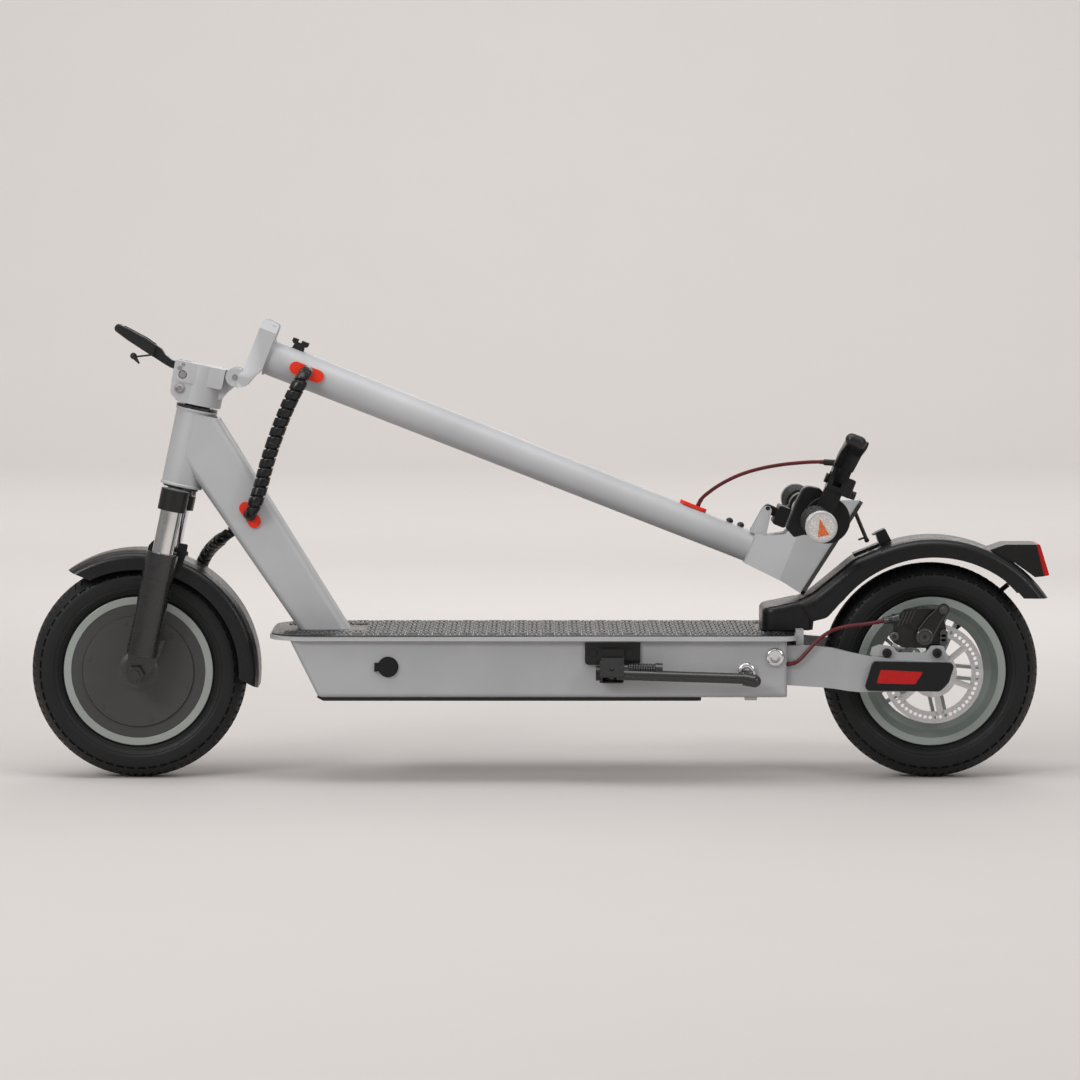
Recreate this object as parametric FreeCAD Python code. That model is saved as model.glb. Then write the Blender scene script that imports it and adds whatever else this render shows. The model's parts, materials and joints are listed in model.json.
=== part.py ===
"""Folding electric kick scooter, stored folded: the stem lies down over the deck.

Frame: +X to the rear, +Z up, -Y is the rider's left. The origin is on the ground under the
middle of the scooter's box. Millimetres.

Parts that turn with the steering are drawn in the head frame: r rearwards from the steering
axis, s up along it. on_head() leans that frame back by RAKE. The stem is drawn upright in the
same frame, and folded() lays it down about the fold hinge.
"""
import FreeCAD, Part
import math
import os

V = FreeCAD.Vector
Y_AXIS = V(0, 1, 0)

# ---- driving dimensions ----------------------------------------------------------------
TYRE_R = 127.0             # 10 inch tyre
TYRE_HALF_WIDTH = 31.0
TYRE_WALL = 5.0
BEAD_R = 84.0              # where the tyre sits on the rim
FLANGE_R = 88.0            # rim flange, inside the tyre's side wall
RIM_INNER_R = 79.0
RIM_HALF_WIDTH = 25.0
FRONT_AXLE = (-473.0, 127.0)
REAR_AXLE = (462.0, 127.0)
AXLE_R = 6.0

RAKE = 12.0                # steering axis leans back, degrees
HEAD_FOOT = (-469.77, 126.31)
HINGE = (37.6, 363.25)     # fold hinge (r, s)
FOLD_ANGLE = 99.6
MATING_S = 369.0           # top of the fold base

LEG_Y = 62.0               # fork legs
STANCHION_R = 12.5
LEG_R = 18.0
LEG_TOP = 146.0
STEERER_R = 15.0
HEAD_TUBE_R = 23.5
HEAD_TUBE = (223.0, 316.0)
STEM_R_LOW = 21.0
STEM_R_HIGH = 18.3
STEM_WALL = 3.0
STEM_AXIS_R = 1.8
STEM_TOP = 987.5

DECK_FRONT = -316.0
DECK_REAR = 300.0
HULL_HALF = 85.0
HULL_BOTTOM = 102.0
HULL_TOP = 169.0
RIM_HALF = 95.0
RIM_TOP = 174.5
MAT_TOP = 177.5
WALL = 3.0

BAR_RS = (-62.0, 1049.1)   # handlebar centre (r, s)
BAR_R = 11.0
GRIP_R = 17.0
BAR_HALF = 262.0
LATCH_PIVOT = (-27.0, 360.0)
HEADLIGHT_PIVOT = (-49.0, 1003.0)
KICK_PIVOT = (84.0, -104.0, 135.0)
KICK_SPLAY = 30.0
KICK_SLOPE = 2.0
CALIPER_PIVOT = (450.0, 172.0)
FIT = 0.05                 # radial running clearance


# ---- drawing helpers -------------------------------------------------------------------
def box(x0, x1, y0, y1, z0, z1):
    return Part.makeBox(x1 - x0, y1 - y0, z1 - z0, V(x0, y0, z0))


def rod(radius, start, end):
    a, b = V(*start), V(*end)
    return Part.makeCylinder(radius, (b - a).Length, a, b - a)


def cone(start_radius, end_radius, start, end):
    a, b = V(*start), V(*end)
    return Part.makeCone(start_radius, end_radius, (b - a).Length, a, b - a)


def ring(outer, inner, start, end):
    return rod(outer, start, end).cut(rod(inner, start, end))


def disc_y(radius, centre, y0, y1):
    """Round part with its axis along Y, centre (x, z)."""
    return rod(radius, (centre[0], y0, centre[1]), (centre[0], y1, centre[1]))


def ring_y(outer, inner, centre, y0, y1):
    return disc_y(outer, centre, y0, y1).cut(disc_y(inner, centre, y0, y1))


def outline(points):
    """Closed wire in the XY plane. A point is (x, y) or (x, y, corner radius)."""
    count = len(points)
    spots = [V(p[0], p[1], 0) for p in points]
    ends = []
    for i, point in enumerate(points):
        radius = point[2] if len(point) > 2 else 0
        here = spots[i]
        if radius == 0:
            ends.append((here, here, here))
            continue
        back = (spots[i - 1] - here).normalize()
        ahead = (spots[(i + 1) % count] - here).normalize()
        half = back.getAngle(ahead) / 2
        reach = radius / math.tan(half)
        middle = (back + ahead).normalize()
        centre = here + middle * (radius / math.sin(half))
        ends.append((here + back * reach, centre - middle * radius, here + ahead * reach))
    edges = []
    for i in range(count):
        start, top, stop = ends[i]
        if (stop - start).Length > 1e-6:
            edges.append(Part.Arc(start, top, stop).toShape())
        following = ends[(i + 1) % count][0]
        if (following - stop).Length > 1e-6:
            edges.append(Part.LineSegment(stop, following).toShape())
    return Part.Wire(edges)


def slab(points, z0, z1):
    """Plan outline in (x, y), between two heights."""
    face = Part.Face(outline(points))
    face.translate(V(0, 0, z0))
    return face.extrude(V(0, 0, z1 - z0))


def side(points, y0, y1):
    """Side outline in (x, z), between two Y planes."""
    face = Part.Face(outline(points))
    face.rotate(V(0, 0, 0), V(1, 0, 0), 90)
    face.translate(V(0, y0, 0))
    return face.extrude(V(0, y1 - y0, 0))


def wheel_section(points, centre, start=0.0, sweep=360.0):
    """Section in (radius, y) turned about a Y axis. Angles go up from +X, towards +Z."""
    face = Part.Face(outline(points))
    face.translate(V(centre[0], 0, centre[1]))
    axis_point = V(centre[0], 0, centre[1])
    face.rotate(axis_point, Y_AXIS, -start)
    return face.revolve(axis_point, V(0, -1, 0), sweep)


def on_head(shape):
    moved = shape.copy()
    moved.rotate(V(0, 0, 0), Y_AXIS, RAKE)
    moved.translate(V(HEAD_FOOT[0], 0, HEAD_FOOT[1]))
    return moved


def to_head(x, z):
    """A point of the side view, in the head frame."""
    dx, dz = x - HEAD_FOOT[0], z - HEAD_FOOT[1]
    lean = math.radians(RAKE)
    return dx * math.cos(lean) - dz * math.sin(lean), dx * math.sin(lean) + dz * math.cos(lean)


def folded(shape):
    moved = shape.copy()
    moved.rotate(V(HINGE[0], 0, HINGE[1]), Y_AXIS, FOLD_ANGLE)
    return on_head(moved)


def both_sides(shape):
    return [shape, shape.mirror(V(0, 0, 0), Y_AXIS)]


def union(*shapes):
    return shapes[0].multiFuse(list(shapes[1:])).removeSplitter()


def hexagon(across, centre, y0, y1):
    corner = across / math.sqrt(3)
    turns = [math.radians(60 * i) for i in range(6)]
    points = [(centre[0] + corner * math.cos(t), centre[1] + corner * math.sin(t)) for t in turns]
    return side(points, y0, y1)


def cable(points, radius, name):
    """Tube along straight runs joined by tangent arcs through hand-chosen points."""
    spots = [V(*p) for p in points]
    runs = [(spots[i + 1] - spots[i]).Length for i in range(len(spots) - 1)]
    edges, radii, last = [], [], spots[0]
    for i in range(1, len(spots) - 1):
        back = (spots[i - 1] - spots[i]).normalize()
        ahead = (spots[i + 1] - spots[i]).normalize()
        turn = math.pi - back.getAngle(ahead)
        reach = 0.45 * min(runs[i - 1], runs[i])
        bend = reach / math.tan(turn / 2)
        middle = (back + ahead).normalize()
        top = spots[i] + middle * (bend / math.cos(turn / 2) - bend)
        start, stop = spots[i] + back * reach, spots[i] + ahead * reach
        edges.append(Part.LineSegment(last, start).toShape())
        edges.append(Part.Arc(start, top, stop).toShape())
        radii.append(round(bend))
        last = stop
    edges.append(Part.LineSegment(last, spots[-1]).toShape())
    path = Part.Wire(edges)
    circle = Part.Wire(Part.Circle(spots[0], spots[1] - spots[0], radius).toShape())
    tube = path.makePipeShell([circle], True, True)
    filled = tube.Volume / (math.pi * radius ** 2 * path.Length)
    print(f"{name}: length {path.Length:.0f} mm, arcs {radii} mm, volume ratio {filled:.3f}")
    return tube


# ---- wheels ----------------------------------------------------------------------------
def tyre(centre):
    wide, inside = TYRE_HALF_WIDTH, TYRE_HALF_WIDTH - TYRE_WALL
    bead_out, bead_in = 21.9, 16.0
    half = [(BEAD_R, bead_in), (BEAD_R, bead_out), (FLANGE_R + 0.6, bead_out),
            (97.0, wide - 1, 6), (111.0, wide, 8), (122.5, 25.0, 5), (TYRE_R, 9.0, 20)]
    back = [(TYRE_R - 7, 8.0, 8), (117.0, 20.0, 5), (108.0, inside, 6),
            (97.0, inside - 2, 5), (90.0, bead_in)]
    left = [(p[0], -p[1]) + tuple(p[2:]) for p in reversed(half)]
    left_back = [(p[0], -p[1]) + tuple(p[2:]) for p in reversed(back)]
    return wheel_section(half + left + left_back + back, centre)


def rim_ring(centre):
    """Flanges and barrel that hold the tyre."""
    seat = BEAD_R
    half = [(RIM_INNER_R, RIM_HALF_WIDTH), (FLANGE_R, RIM_HALF_WIDTH, 1),
            (FLANGE_R, 22.0, 1), (seat, 22.0)]
    left = [(p[0], -p[1]) + tuple(p[2:]) for p in reversed(half)]
    return wheel_section(half + left, centre)


def front_wheel():
    centre = FRONT_AXLE
    magnets = ring_y(RIM_INNER_R, 74.0, centre, -18, 18)
    covers = []
    for sign in (-1, 1):
        cover_r = RIM_INNER_R - 0.02
        plate = disc_y(cover_r, centre, sign * 20, sign * 24) if sign > 0 else \
            disc_y(cover_r, centre, -24, -20)
        raised = cone(66.5, 65.0, (centre[0], sign * 24, centre[1]),
                      (centre[0], sign * 27, centre[1]))
        boss = cone(24.0, 19.0, (centre[0], sign * 27, centre[1]),
                    (centre[0], sign * 30, centre[1]))
        seat = disc_y(14.02, centre, min(sign * 19, sign * 27), max(sign * 19, sign * 27))
        bore = disc_y(AXLE_R + 1.0, centre, -31, 31)
        covers.append(union(plate, raised, boss).cut(seat).cut(bore))
    screws = []
    for i in range(6):
        turn = math.radians(45 + 60 * i)
        spot = (centre[0] + 59.0 * math.cos(turn), centre[1] + 59.0 * math.sin(turn))
        for y0, y1 in ((-28.0, -27), (27, 28.0)):
            screws.append(disc_y(2.3, spot, y0, y1))
    stator = ring_y(71.0, 30.0, centre, -15, 15)
    slots = [box(58, 72, -16, 16, -1.6, 1.6) for _ in range(18)]
    for i, slot in enumerate(slots):
        slot.rotate(V(0, 0, 0), Y_AXIS, 20 * i)
        slot.translate(V(centre[0], 0, centre[1]))
    stator = stator.cut(Part.makeCompound(slots))
    hub = ring_y(30.0, AXLE_R, centre, -12, 12)
    return {
        "front_tyre": tyre(centre),
        "front_rim": union(rim_ring(centre), magnets),
        "motor_covers": Part.makeCompound(covers + screws),
        "motor_stator": union(stator, hub),
    }


def front_axle():
    centre = FRONT_AXLE
    shaft = disc_y(AXLE_R, centre, -75, 75)
    parts = [shaft]
    for sign in (-1, 1):
        spans = sorted((sign * 62.0, sign * 72.0))
        parts.append(hexagon(19.0, centre, *spans).cut(shaft))
        washer = sorted((sign * 50.0, sign * 56.0))
        parts.append(ring_y(12.0, AXLE_R, centre, *washer))
        bearing = sorted((sign * 19.0, sign * 26.9))
        parts.append(ring_y(14.0 - FIT, AXLE_R, centre, *bearing))
    boot = union(disc_y(10.0, centre, 72.05, 97.0), rod(8.0, (centre[0], 88.0, centre[1]), HUB_GLAND))
    parts.append(boot.cut(shaft))
    return {"front_axle": Part.makeCompound(parts)}


def rear_wheel():
    centre = REAR_AXLE
    web = wheel_section([(63.0, -7.0, 2), (63.0, 7.0, 2), (72.0, 12.0, 4), (RIM_INNER_R, 22.0),
                         (RIM_INNER_R, -22.0), (72.0, -12.0, 4)], centre)
    hub = disc_y(24.0, centre, -44, 38)
    spokes = []
    for i in range(5):
        for offset in (-7.0, 7.0):
            spoke = box(20, 66, -5, 5, offset - 2.0, offset + 2.0)
            spoke.rotate(V(0, 0, 0), Y_AXIS, 5 - 72 * i)
            spoke.translate(V(centre[0], 0, centre[1]))
            spokes.append(spoke)
    rim = union(rim_ring(centre), web, hub, *spokes)
    for y0, y1 in ((-45, -34), (28, 39)):
        rim = rim.cut(disc_y(14.0 + FIT, centre, y0, y1))
    rim = rim.cut(disc_y(8.0, centre, -45, 39))

    disc_y0, disc_y1 = -51.0, -49.0
    rotor = ring_y(59.0, 45.0, centre, disc_y0, disc_y1)
    carrier = ring_y(28.0, 16.0, centre, disc_y0, disc_y1)
    arms = []
    for i in range(6):
        arm = box(24, 48, disc_y0, disc_y1, -3.5, 3.5)
        arm.rotate(V(0, 0, 0), Y_AXIS, 60 * i + 20)
        arm.translate(V(centre[0], 0, centre[1]))
        arms.append(arm)
    rotor = union(rotor, carrier, *arms)
    spacer = ring_y(24.0, 16.0, centre, -49.0, -44.0)
    bolts = []
    for i in range(6):
        turn = math.radians(60 * i + 50)
        spot = (centre[0] + 22 * math.cos(turn), centre[1] + 22 * math.sin(turn))
        bolts.append(disc_y(4.0, spot, -54.0, disc_y0))
    holes = []
    for i in range(54):
        turn = math.radians(360 / 54 * i)
        spot = (centre[0] + 52.0 * math.cos(turn), centre[1] + 52.0 * math.sin(turn))
        holes.append(disc_y(2.1, spot, -52, -48))
    rotor = rotor.cut(Part.makeCompound(holes))
    return {
        "rear_tyre": tyre(centre),
        "rear_rim": rim,
        "brake_disc": Part.makeCompound([rotor, spacer] + bolts),
    }


def rear_axle():
    centre = REAR_AXLE
    shaft = disc_y(AXLE_R, centre, -87, 87)
    parts = [shaft, ring_y(14.0, AXLE_R, centre, -44, -34), ring_y(14.0, AXLE_R, centre, 28, 38),
             ring_y(9.0, AXLE_R, centre, -75.9, -44), ring_y(9.0, AXLE_R, centre, 38, 75.9)]
    for y0, y1 in ((-89.0, -84.1), (84.1, 89.0)):
        nut_y = (y0, y1)
        parts.append(hexagon(17.0, centre, *nut_y).cut(shaft))
    return {"rear_axle": Part.makeCompound(parts)}


# ---- deck and frame --------------------------------------------------------------------
HULL_SIDE = [(-291.0, HULL_TOP), (-258.0, HULL_BOTTOM, 8), (289.0, HULL_BOTTOM, 2), (289.0, HULL_TOP)]


def deck():
    hull = side(HULL_SIDE, -HULL_HALF, HULL_HALF)
    long_edges = [e for e in hull.Edges
                  if abs(e.BoundBox.ZMax - HULL_BOTTOM) < 0.5 and e.BoundBox.XLength > 400]
    hull = hull.makeFillet(6.0, long_edges)
    inner = side([(-285.5, HULL_TOP - WALL), (-254.0, HULL_BOTTOM + WALL), (286.0, HULL_BOTTOM + WALL),
                  (286.0, HULL_TOP - WALL)], -HULL_HALF + WALL, HULL_HALF - WALL)
    hull = hull.cut(inner).cut(box(-244, 178, -73, 73, HULL_BOTTOM - 1, HULL_BOTTOM + WALL + 1))
    hull = hull.cut(box(285, 290, -75, -63, 112, 166)).cut(box(285, 290, 63, 75, 112, 166))
    for x, z in CHROME_BOLTS:
        hull = hull.cut(disc_y(5.0, (x, z), -90, 90))
    hull = hull.cut(disc_y(8.0, CHARGE_PORT, -86, -81)).cut(rod(3.0, (280, -79.5, 141), (290, -79.5, 141)))

    cover = slab([(-262, -81, 6), (189, -81, 6), (189, 81, 6), (-262, 81, 6)], 98.0, HULL_BOTTOM)
    cover = cover.cut(side([(-270, 97), (-250, 97), (-262, 103), (-270, 103)], -90, 90))
    rail = box(240, 254, -80, -60, 98.5, HULL_BOTTOM)

    plan = [(DECK_FRONT, -RIM_HALF + 3, 45), (DECK_REAR, -RIM_HALF, 16),
            (DECK_REAR, RIM_HALF, 16), (DECK_FRONT, RIM_HALF - 3, 45)]
    mat_plan = [(DECK_FRONT + 2, -RIM_HALF + 4.5, 43), (DECK_REAR - 2, -RIM_HALF + 1.5, 15),
                (DECK_REAR - 2, RIM_HALF - 1.5, 15), (DECK_FRONT + 2, RIM_HALF - 4.5, 43)]
    rim = slab(plan, HULL_TOP, RIM_TOP)
    mat = slab(mat_plan, RIM_TOP, MAT_TOP)
    foot = down_tube_solid(1.0)
    rim = rim.cut(foot)
    mat = mat.cut(foot)
    for x in range(-300, 280, 20):
        groove = box(x, x + 1.6, -RIM_HALF + 8, RIM_HALF - 8, MAT_TOP - 0.8, MAT_TOP + 1)
        mat = mat.cut(groove)

    battery = box(-215, 95, -66, 66, 107, 160)
    battery = battery.makeFillet(4.0, battery.Edges)
    controller = union(box(112, 205, -40, 40, 106, 138), *[box(114 + 8 * i, 117 + 8 * i, -38, 38, 138, 146)
                                                          for i in range(11)])
    port = union(disc_y(7.9, CHARGE_PORT, -85, -70), ring_y(12.0, 5.0, CHARGE_PORT, -86.5, -85))
    port = port.cut(disc_y(5.0, CHARGE_PORT, -87, -76))
    px, pz = CHARGE_PORT
    hx, hy = px - 14.5, -88.3
    port = union(port, box(hx - 1.5, px - 11, -86.5, -85, pz - 5, pz + 5),
                 box(hx - 1.5, hx + 1.5, -89.8, -86, pz - 5, pz - 3.2),
                 box(hx - 1.5, hx + 1.5, -89.8, -86, pz + 3.2, pz + 5),
                 rod(0.8, (hx, hy, pz - 5), (hx, hy, pz + 5)))
    cap = union(disc_y(10.5, CHARGE_PORT, -89.5, -86.6), cone(4.8, 3.8, (px, -86.6, pz), (px, -83.0, pz)),
                box(hx, px - 8, -89.2, -87.2, pz - 3, pz + 3), rod(1.5, (hx, hy, pz - 3), (hx, hy, pz + 3)))
    cap = cap.cut(rod(0.8 + FIT, (hx, hy, pz - 4), (hx, hy, pz + 4)))
    return {
        "deck_hull": union(hull, rail),
        "bottom_cover": cover,
        "deck_rim": rim,
        "deck_mat": mat,
        "battery_pack": battery,
        "controller": controller,
        "charge_port": port,
        "charge_cap": cap,
    }


CHROME_BOLTS = [(274.6, 150.0), (241.3, 132.8)]
CHARGE_PORT = (-176.4, 138.2)


def rounded_section(centre, across, half_height, half_width):
    """Rounded rectangle standing on a slanted direction 'across' in the XZ plane."""
    a = V(*across).normalize()
    y = V(0, 1, 0)
    c = V(*centre)
    corner = 0.42 * half_width
    flat = [(-half_height, -half_width), (half_height, -half_width),
            (half_height, half_width), (-half_height, half_width)]
    wire = outline([(h, w, corner) for h, w in flat])
    matrix = FreeCAD.Matrix(a.x, y.x, 0, c.x, a.y, y.y, 0, c.y, a.z, y.z, 1, c.z, 0, 0, 0, 1)
    normal = a.cross(y)
    matrix.A13, matrix.A23, matrix.A33 = normal.x, normal.y, normal.z
    placed = wire.copy()
    placed.transformShape(matrix)
    return placed


def down_tube_solid(grow=0.0):
    """From inside the head tube down to the deck's top skin."""
    top_edge = (V(-403.0, 0, 466.6), V(-219.6, 0, HULL_TOP))
    low_edge = (V(-432.0, 0, 392.8), V(-279.0, 0, HULL_TOP))
    sections = []
    for top, low in zip(top_edge, low_edge):
        middle = (top + low) * 0.5
        half = (top - low).Length / 2 + grow
        sections.append(rounded_section(tuple(middle), tuple(top - low), half, 24.0 + grow))
    tube = Part.makeLoft(sections, True, True)
    return tube


def frame_tubes():
    s0, s1 = HEAD_TUBE
    outside = on_head(rod(HEAD_TUBE_R + 0.01, (0, 0, s0 - 20), (0, 0, s1 + 200)))
    head = ring(HEAD_TUBE_R, 19.0, (0, 0, s0), (0, 0, s1))
    for a, b in ((s0, s0 + 3), (s1 - 3, s1)):
        head = union(head, ring(HEAD_TUBE_R + 1.2, 19.0, (0, 0, a), (0, 0, b)))
    tube = down_tube_solid().cut(down_tube_solid(-3.0)).cut(outside)
    front_of_axis = on_head(box(-120, 0, -60, 60, 150, 520))
    tube = tube.cut(front_of_axis).cut(on_head(box(-60, 80, -60, 60, s1 - 5, 520)))
    grommet_hole = rod(6.0, (-340.4, -30, 311.7), (-340.4, -12, 311.7))
    tube = max(tube.cut(grommet_hole).Solids, key=lambda s: s.Volume)
    tube = tube.cut(on_head(ring(HEAD_TUBE_R + 1.3, 10.0, (0, 0, s1 - 3.1), (0, 0, s1 + 1))))

    cups = []
    for a, b in ((s0 - 0.0, s0 + 12), (s1 - 12, s1)):
        cups.append(on_head(ring(19.0, STEERER_R + FIT, (0, 0, a), (0, 0, b))))
    cups.append(on_head(ring(21.0, STEERER_R + FIT, (0, 0, s0 - 2.5), (0, 0, s0))))
    cups.append(on_head(ring(24.6, STEERER_R + FIT, (0, 0, s1), (0, 0, s1 + 3.2))))
    grommet = stadium_plug(34.0, 15.0, 3.0)
    grommet = grommet.cut(disc_y(7.6, (0, 0), -5, 5))
    grommet.rotate(V(0, 0, 0), Y_AXIS, 57)
    grommet.translate(V(-340.4, -24.0, 311.7))
    return {
        "down_tube": tube,
        "head_tube": on_head(head),
        "headset_bearings": Part.makeCompound(cups),
        "frame_grommet": grommet,
    }


def stadium_plug(length, width, thick):
    """Flat plug with round ends, long along X, standing out towards -Y from Y = 0."""
    half, r = length / 2 - width / 2, width / 2
    plate = union(box(-half, half, -thick, 0, -r, r), rod(r, (-half, -thick, 0), (-half, 0, 0)),
                  rod(r, (half, -thick, 0), (half, 0, 0)))
    return plate


# ---- rear fork, fender, brake ------------------------------------------------------------
ARM_SIDE = [(235.0, 118.0, 6), (292.0, 115.5), (330.0, 113.0), (374.0, 108.5, 3), (474.0, 110.0, 14),
            (482.0, 142.0, 10), (392.0, 149.0), (382.0, 151.0), (340.0, 159.5), (310.0, 162.0),
            (235.0, 162.0, 6)]


def rear_fork():
    profile = side(ARM_SIDE, -90, 90)
    plan = [(235, -74), (345, -74), (360, -84), (484, -84), (484, -76), (363, -76), (348, -66),
            (235, -66)]
    arm = slab(plan, 100, 170).common(profile)
    arm = arm.cut(disc_y(AXLE_R + 0.02, REAR_AXLE, -90, 90))
    for x, z in CHROME_BOLTS:
        arm = arm.cut(disc_y(4.5, (x, z), -90, 90))
    cross = box(300.1, 309, -66, 66, 116, 180)
    flange = box(287.5, 309, -46, 46, MAT_TOP, 180.3)
    fork = union(cross, flange, *both_sides(arm))

    bracket = side([(386, 151.2), (388, 160, 3), (397, 163.5, 4), (413, 161, 4), (418, 154, 6), (452, 154, 6),
                    (457, 162, 4), (471, 162, 5), (477, 150), (477, 142.6), (430, 146.0)], -76, -71)
    bracket = bracket.cut(side(ARM_SIDE, -90, 90))
    bracket = union(bracket, side([(388, 151), (400, 149), (474, 143.5), (474, 138), (388, 138)], -76, -71)
                    .common(box(380, 480, -76, -71, 136, 152)))
    for x, z in CALIPER_BOLTS:
        bracket = bracket.cut(disc_y(3.0, (x, z), -80, -60))
    bracket = bracket.cut(disc_y(10.0, REAR_AXLE, -80, -60))

    bolts = []
    for x, z in CHROME_BOLTS:
        head = disc_y(11.0, (x, z), -90.5, -85.0)
        head = head.makeFillet(3.5, [e for e in head.Edges if abs(e.BoundBox.YMin + 90.5) < 0.01
                                     and e.BoundBox.XLength > 5])
        head = head.cut(hexagon(8.0, (x, z), -92, -87))
        left = union(head, disc_y(4.45, (x, z), -85.0, -66.0))
        sleeve = ring_y(9.0, 4.5, (x, z), -81.9, -74.05)
        bolts += both_sides(left) + both_sides(sleeve)
    return {
        "rear_fork": Part.makeCompound([fork, bracket]),
        "fork_bolts": Part.makeCompound(bolts),
    }


CALIPER_BOLTS = [(405.6, 153.8), (464.0, 153.8)]
FENDER_CENTRE = (464.0, 124.0)
FENDER_R = 162.0
FENDER_HALF = 41.0


def round_top(solid, crest, half, radius):
    """Round the two long upper edges that follow the crest line."""
    def on_crest(point):
        for (x0, z0), (x1, z1) in zip(crest, crest[1:]):
            if x0 <= point.x <= x1:
                return point.z > z0 + (z1 - z0) * (point.x - x0) / (x1 - x0) - 4
        return False
    edges = [e for e in solid.Edges if e.BoundBox.YLength < 0.1 and abs(abs(e.CenterOfMass.y) - half) < 0.1
             and e.Length > 2 and on_crest(e.CenterOfMass)]
    return solid.makeFillet(radius, edges)


def rear_fender():
    inner_r, wall = 138.5, 3.0
    half = FENDER_HALF
    section = [(inner_r, half), (FENDER_R - 4, half, 9), (FENDER_R, half - 16, 14), (FENDER_R, -half + 16, 14),
               (FENDER_R - 4, -half, 9), (inner_r, -half), (inner_r, -half + wall),
               (FENDER_R - 7, -half + wall, 6), (FENDER_R - wall, -half + 17, 10),
               (FENDER_R - wall, half - 17, 10), (FENDER_R - 7, half - wall, 6), (inner_r, half - wall)]
    arch = wheel_section(section, FENDER_CENTRE, 24.0, 104.0)
    arch = arch.cut(side([(540, 214.5), (620, 213.8), (620, 150), (540, 150)], -60, 60))
    crest = [(259.0, 203.0), (279.0, 206.2), (304.0, 211.6), (320.0, 219.5), (344.0, 239.0), (371.0, 261.4),
             (401.0, 274.2)]
    front = side([(270.0, MAT_TOP), (270.0, 204.8)] + [crest[1] + (60,), crest[2] + (60,), crest[3] + (60,),
                 crest[4] + (100,), crest[5] + (40,), crest[6], (401.0, 262.0), (380.0, 231.0), (354, 209.5, 40),
                 (338, 191.5, 14), (322, 187.5), (321, MAT_TOP)], -FENDER_HALF, FENDER_HALF)
    front = round_top(front, crest, FENDER_HALF, 13.0)
    front = front.cut(disc_y(inner_r, FENDER_CENTRE, -60, 60))
    base = slab([(261.5, -48, 15), (261.5, 48, 15), (318, 48, 4), (318, -48, 4)], MAT_TOP, 220)
    base = base.common(side([(250, MAT_TOP), (250, 201.6)] + [crest[1] + (60,), crest[2],
                            (312.0, 196.0, 6), (318.0, 188.0), (330, MAT_TOP)], -60, 60))
    base = base.makeFillet(7.0, [e for e in base.Edges if e.CenterOfMass.z > 200 and e.CenterOfMass.x < 303])
    fender = union(arch, front, base)
    fender = fender.cut(box(286.5, 310, -47, 47, MAT_TOP - 1, 180.4))
    fender = fender.cut(box(300.0, 309.1, -67, 67, MAT_TOP - 1, 180.1))
    housing = side([(528, 270.0), (548, 277.0, 12), (584.6, 277.0), (594.0, 239.5), (583.0, 238.5), (560, 255)],
                   -29, 29)
    housing = housing.cut(disc_y(FENDER_R - 2.5, FENDER_CENTRE, -60, 60))
    fender = union(fender, housing)
    lens = side([(584.7, 277.0), (589.0, 277.0, 2), (600.4, 240.5, 1.5), (594.1, 239.6)], -27, 27)
    fender = fender.cut(lens)

    plate = side([(370.0, 264.5), (400.5, 277.2), (401.6, 274.4), (372.0, 261.8)], -11, 11)
    plate = plate.cut(disc_y(FENDER_R, FENDER_CENTRE, -60, 60))
    block = side([(396.6, 289.5), (408.0, 294.5, 1.5), (415.5, 280.0), (403.0, 274.0), (400.0, 279.0)], -10, 10)
    block = block.cut(disc_y(FENDER_R, FENDER_CENTRE, -60, 60))
    tongue = side([(393.2, 287.5), (397.2, 289.2), (397.8, 287.8), (393.7, 286.1)], -9, 9)
    stay = rod(3.0, (558.5, 40, 224.0), (474.0, 80.0, 146.2))
    foot = disc_y(6.0, (474.0, 146.2), 76.0, 84.0).cut(side(ARM_SIDE, -90, 90))
    stay = union(stay, foot).cut(side(ARM_SIDE, -90, 90))
    stay = stay.cut(arch)
    catch = union(plate, block, tongue).cut(fender)
    return {
        "rear_fender": fender,
        "tail_lens_part": lens,
        "fender_fittings": Part.makeCompound([catch, max(stay.Solids, key=lambda s: s.Volume)]),
    }


COVER_SIDE = [(378.0, 111.0, 5), (388.5, 145.0, 5), (484.0, 143.5, 5), (477.0, 121.0, 6), (466.5, 110.0, 6)]
REFLECTOR = [(392.5, 119.5, 1.5), (397.2, 135.5, 1.5), (447.0, 133.0, 1.5), (437.5, 118.5, 1.5)]


def end_covers():
    covers, lenses = [], []
    for sign in (-1, 1):
        low, high = sorted((sign * 84.02, sign * 91.5))
        solid = side(COVER_SIDE, low, high)
        a, b = sorted((sign * 84.0, sign * 89.6))
        solid = solid.cut(disc_y(12.0, REAR_AXLE, a, b))
        a, b = sorted((sign * 90.0, sign * 92.0))
        solid = solid.cut(side(REFLECTOR, a, b))
        covers.append(solid)
        a, b = sorted((sign * 90.05, sign * 91.2))
        lenses.append(side([(x, z) for x, z, _ in REFLECTOR], a, b)
                      .common(side(REFLECTOR, a, b)))
    return covers, lenses


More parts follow.
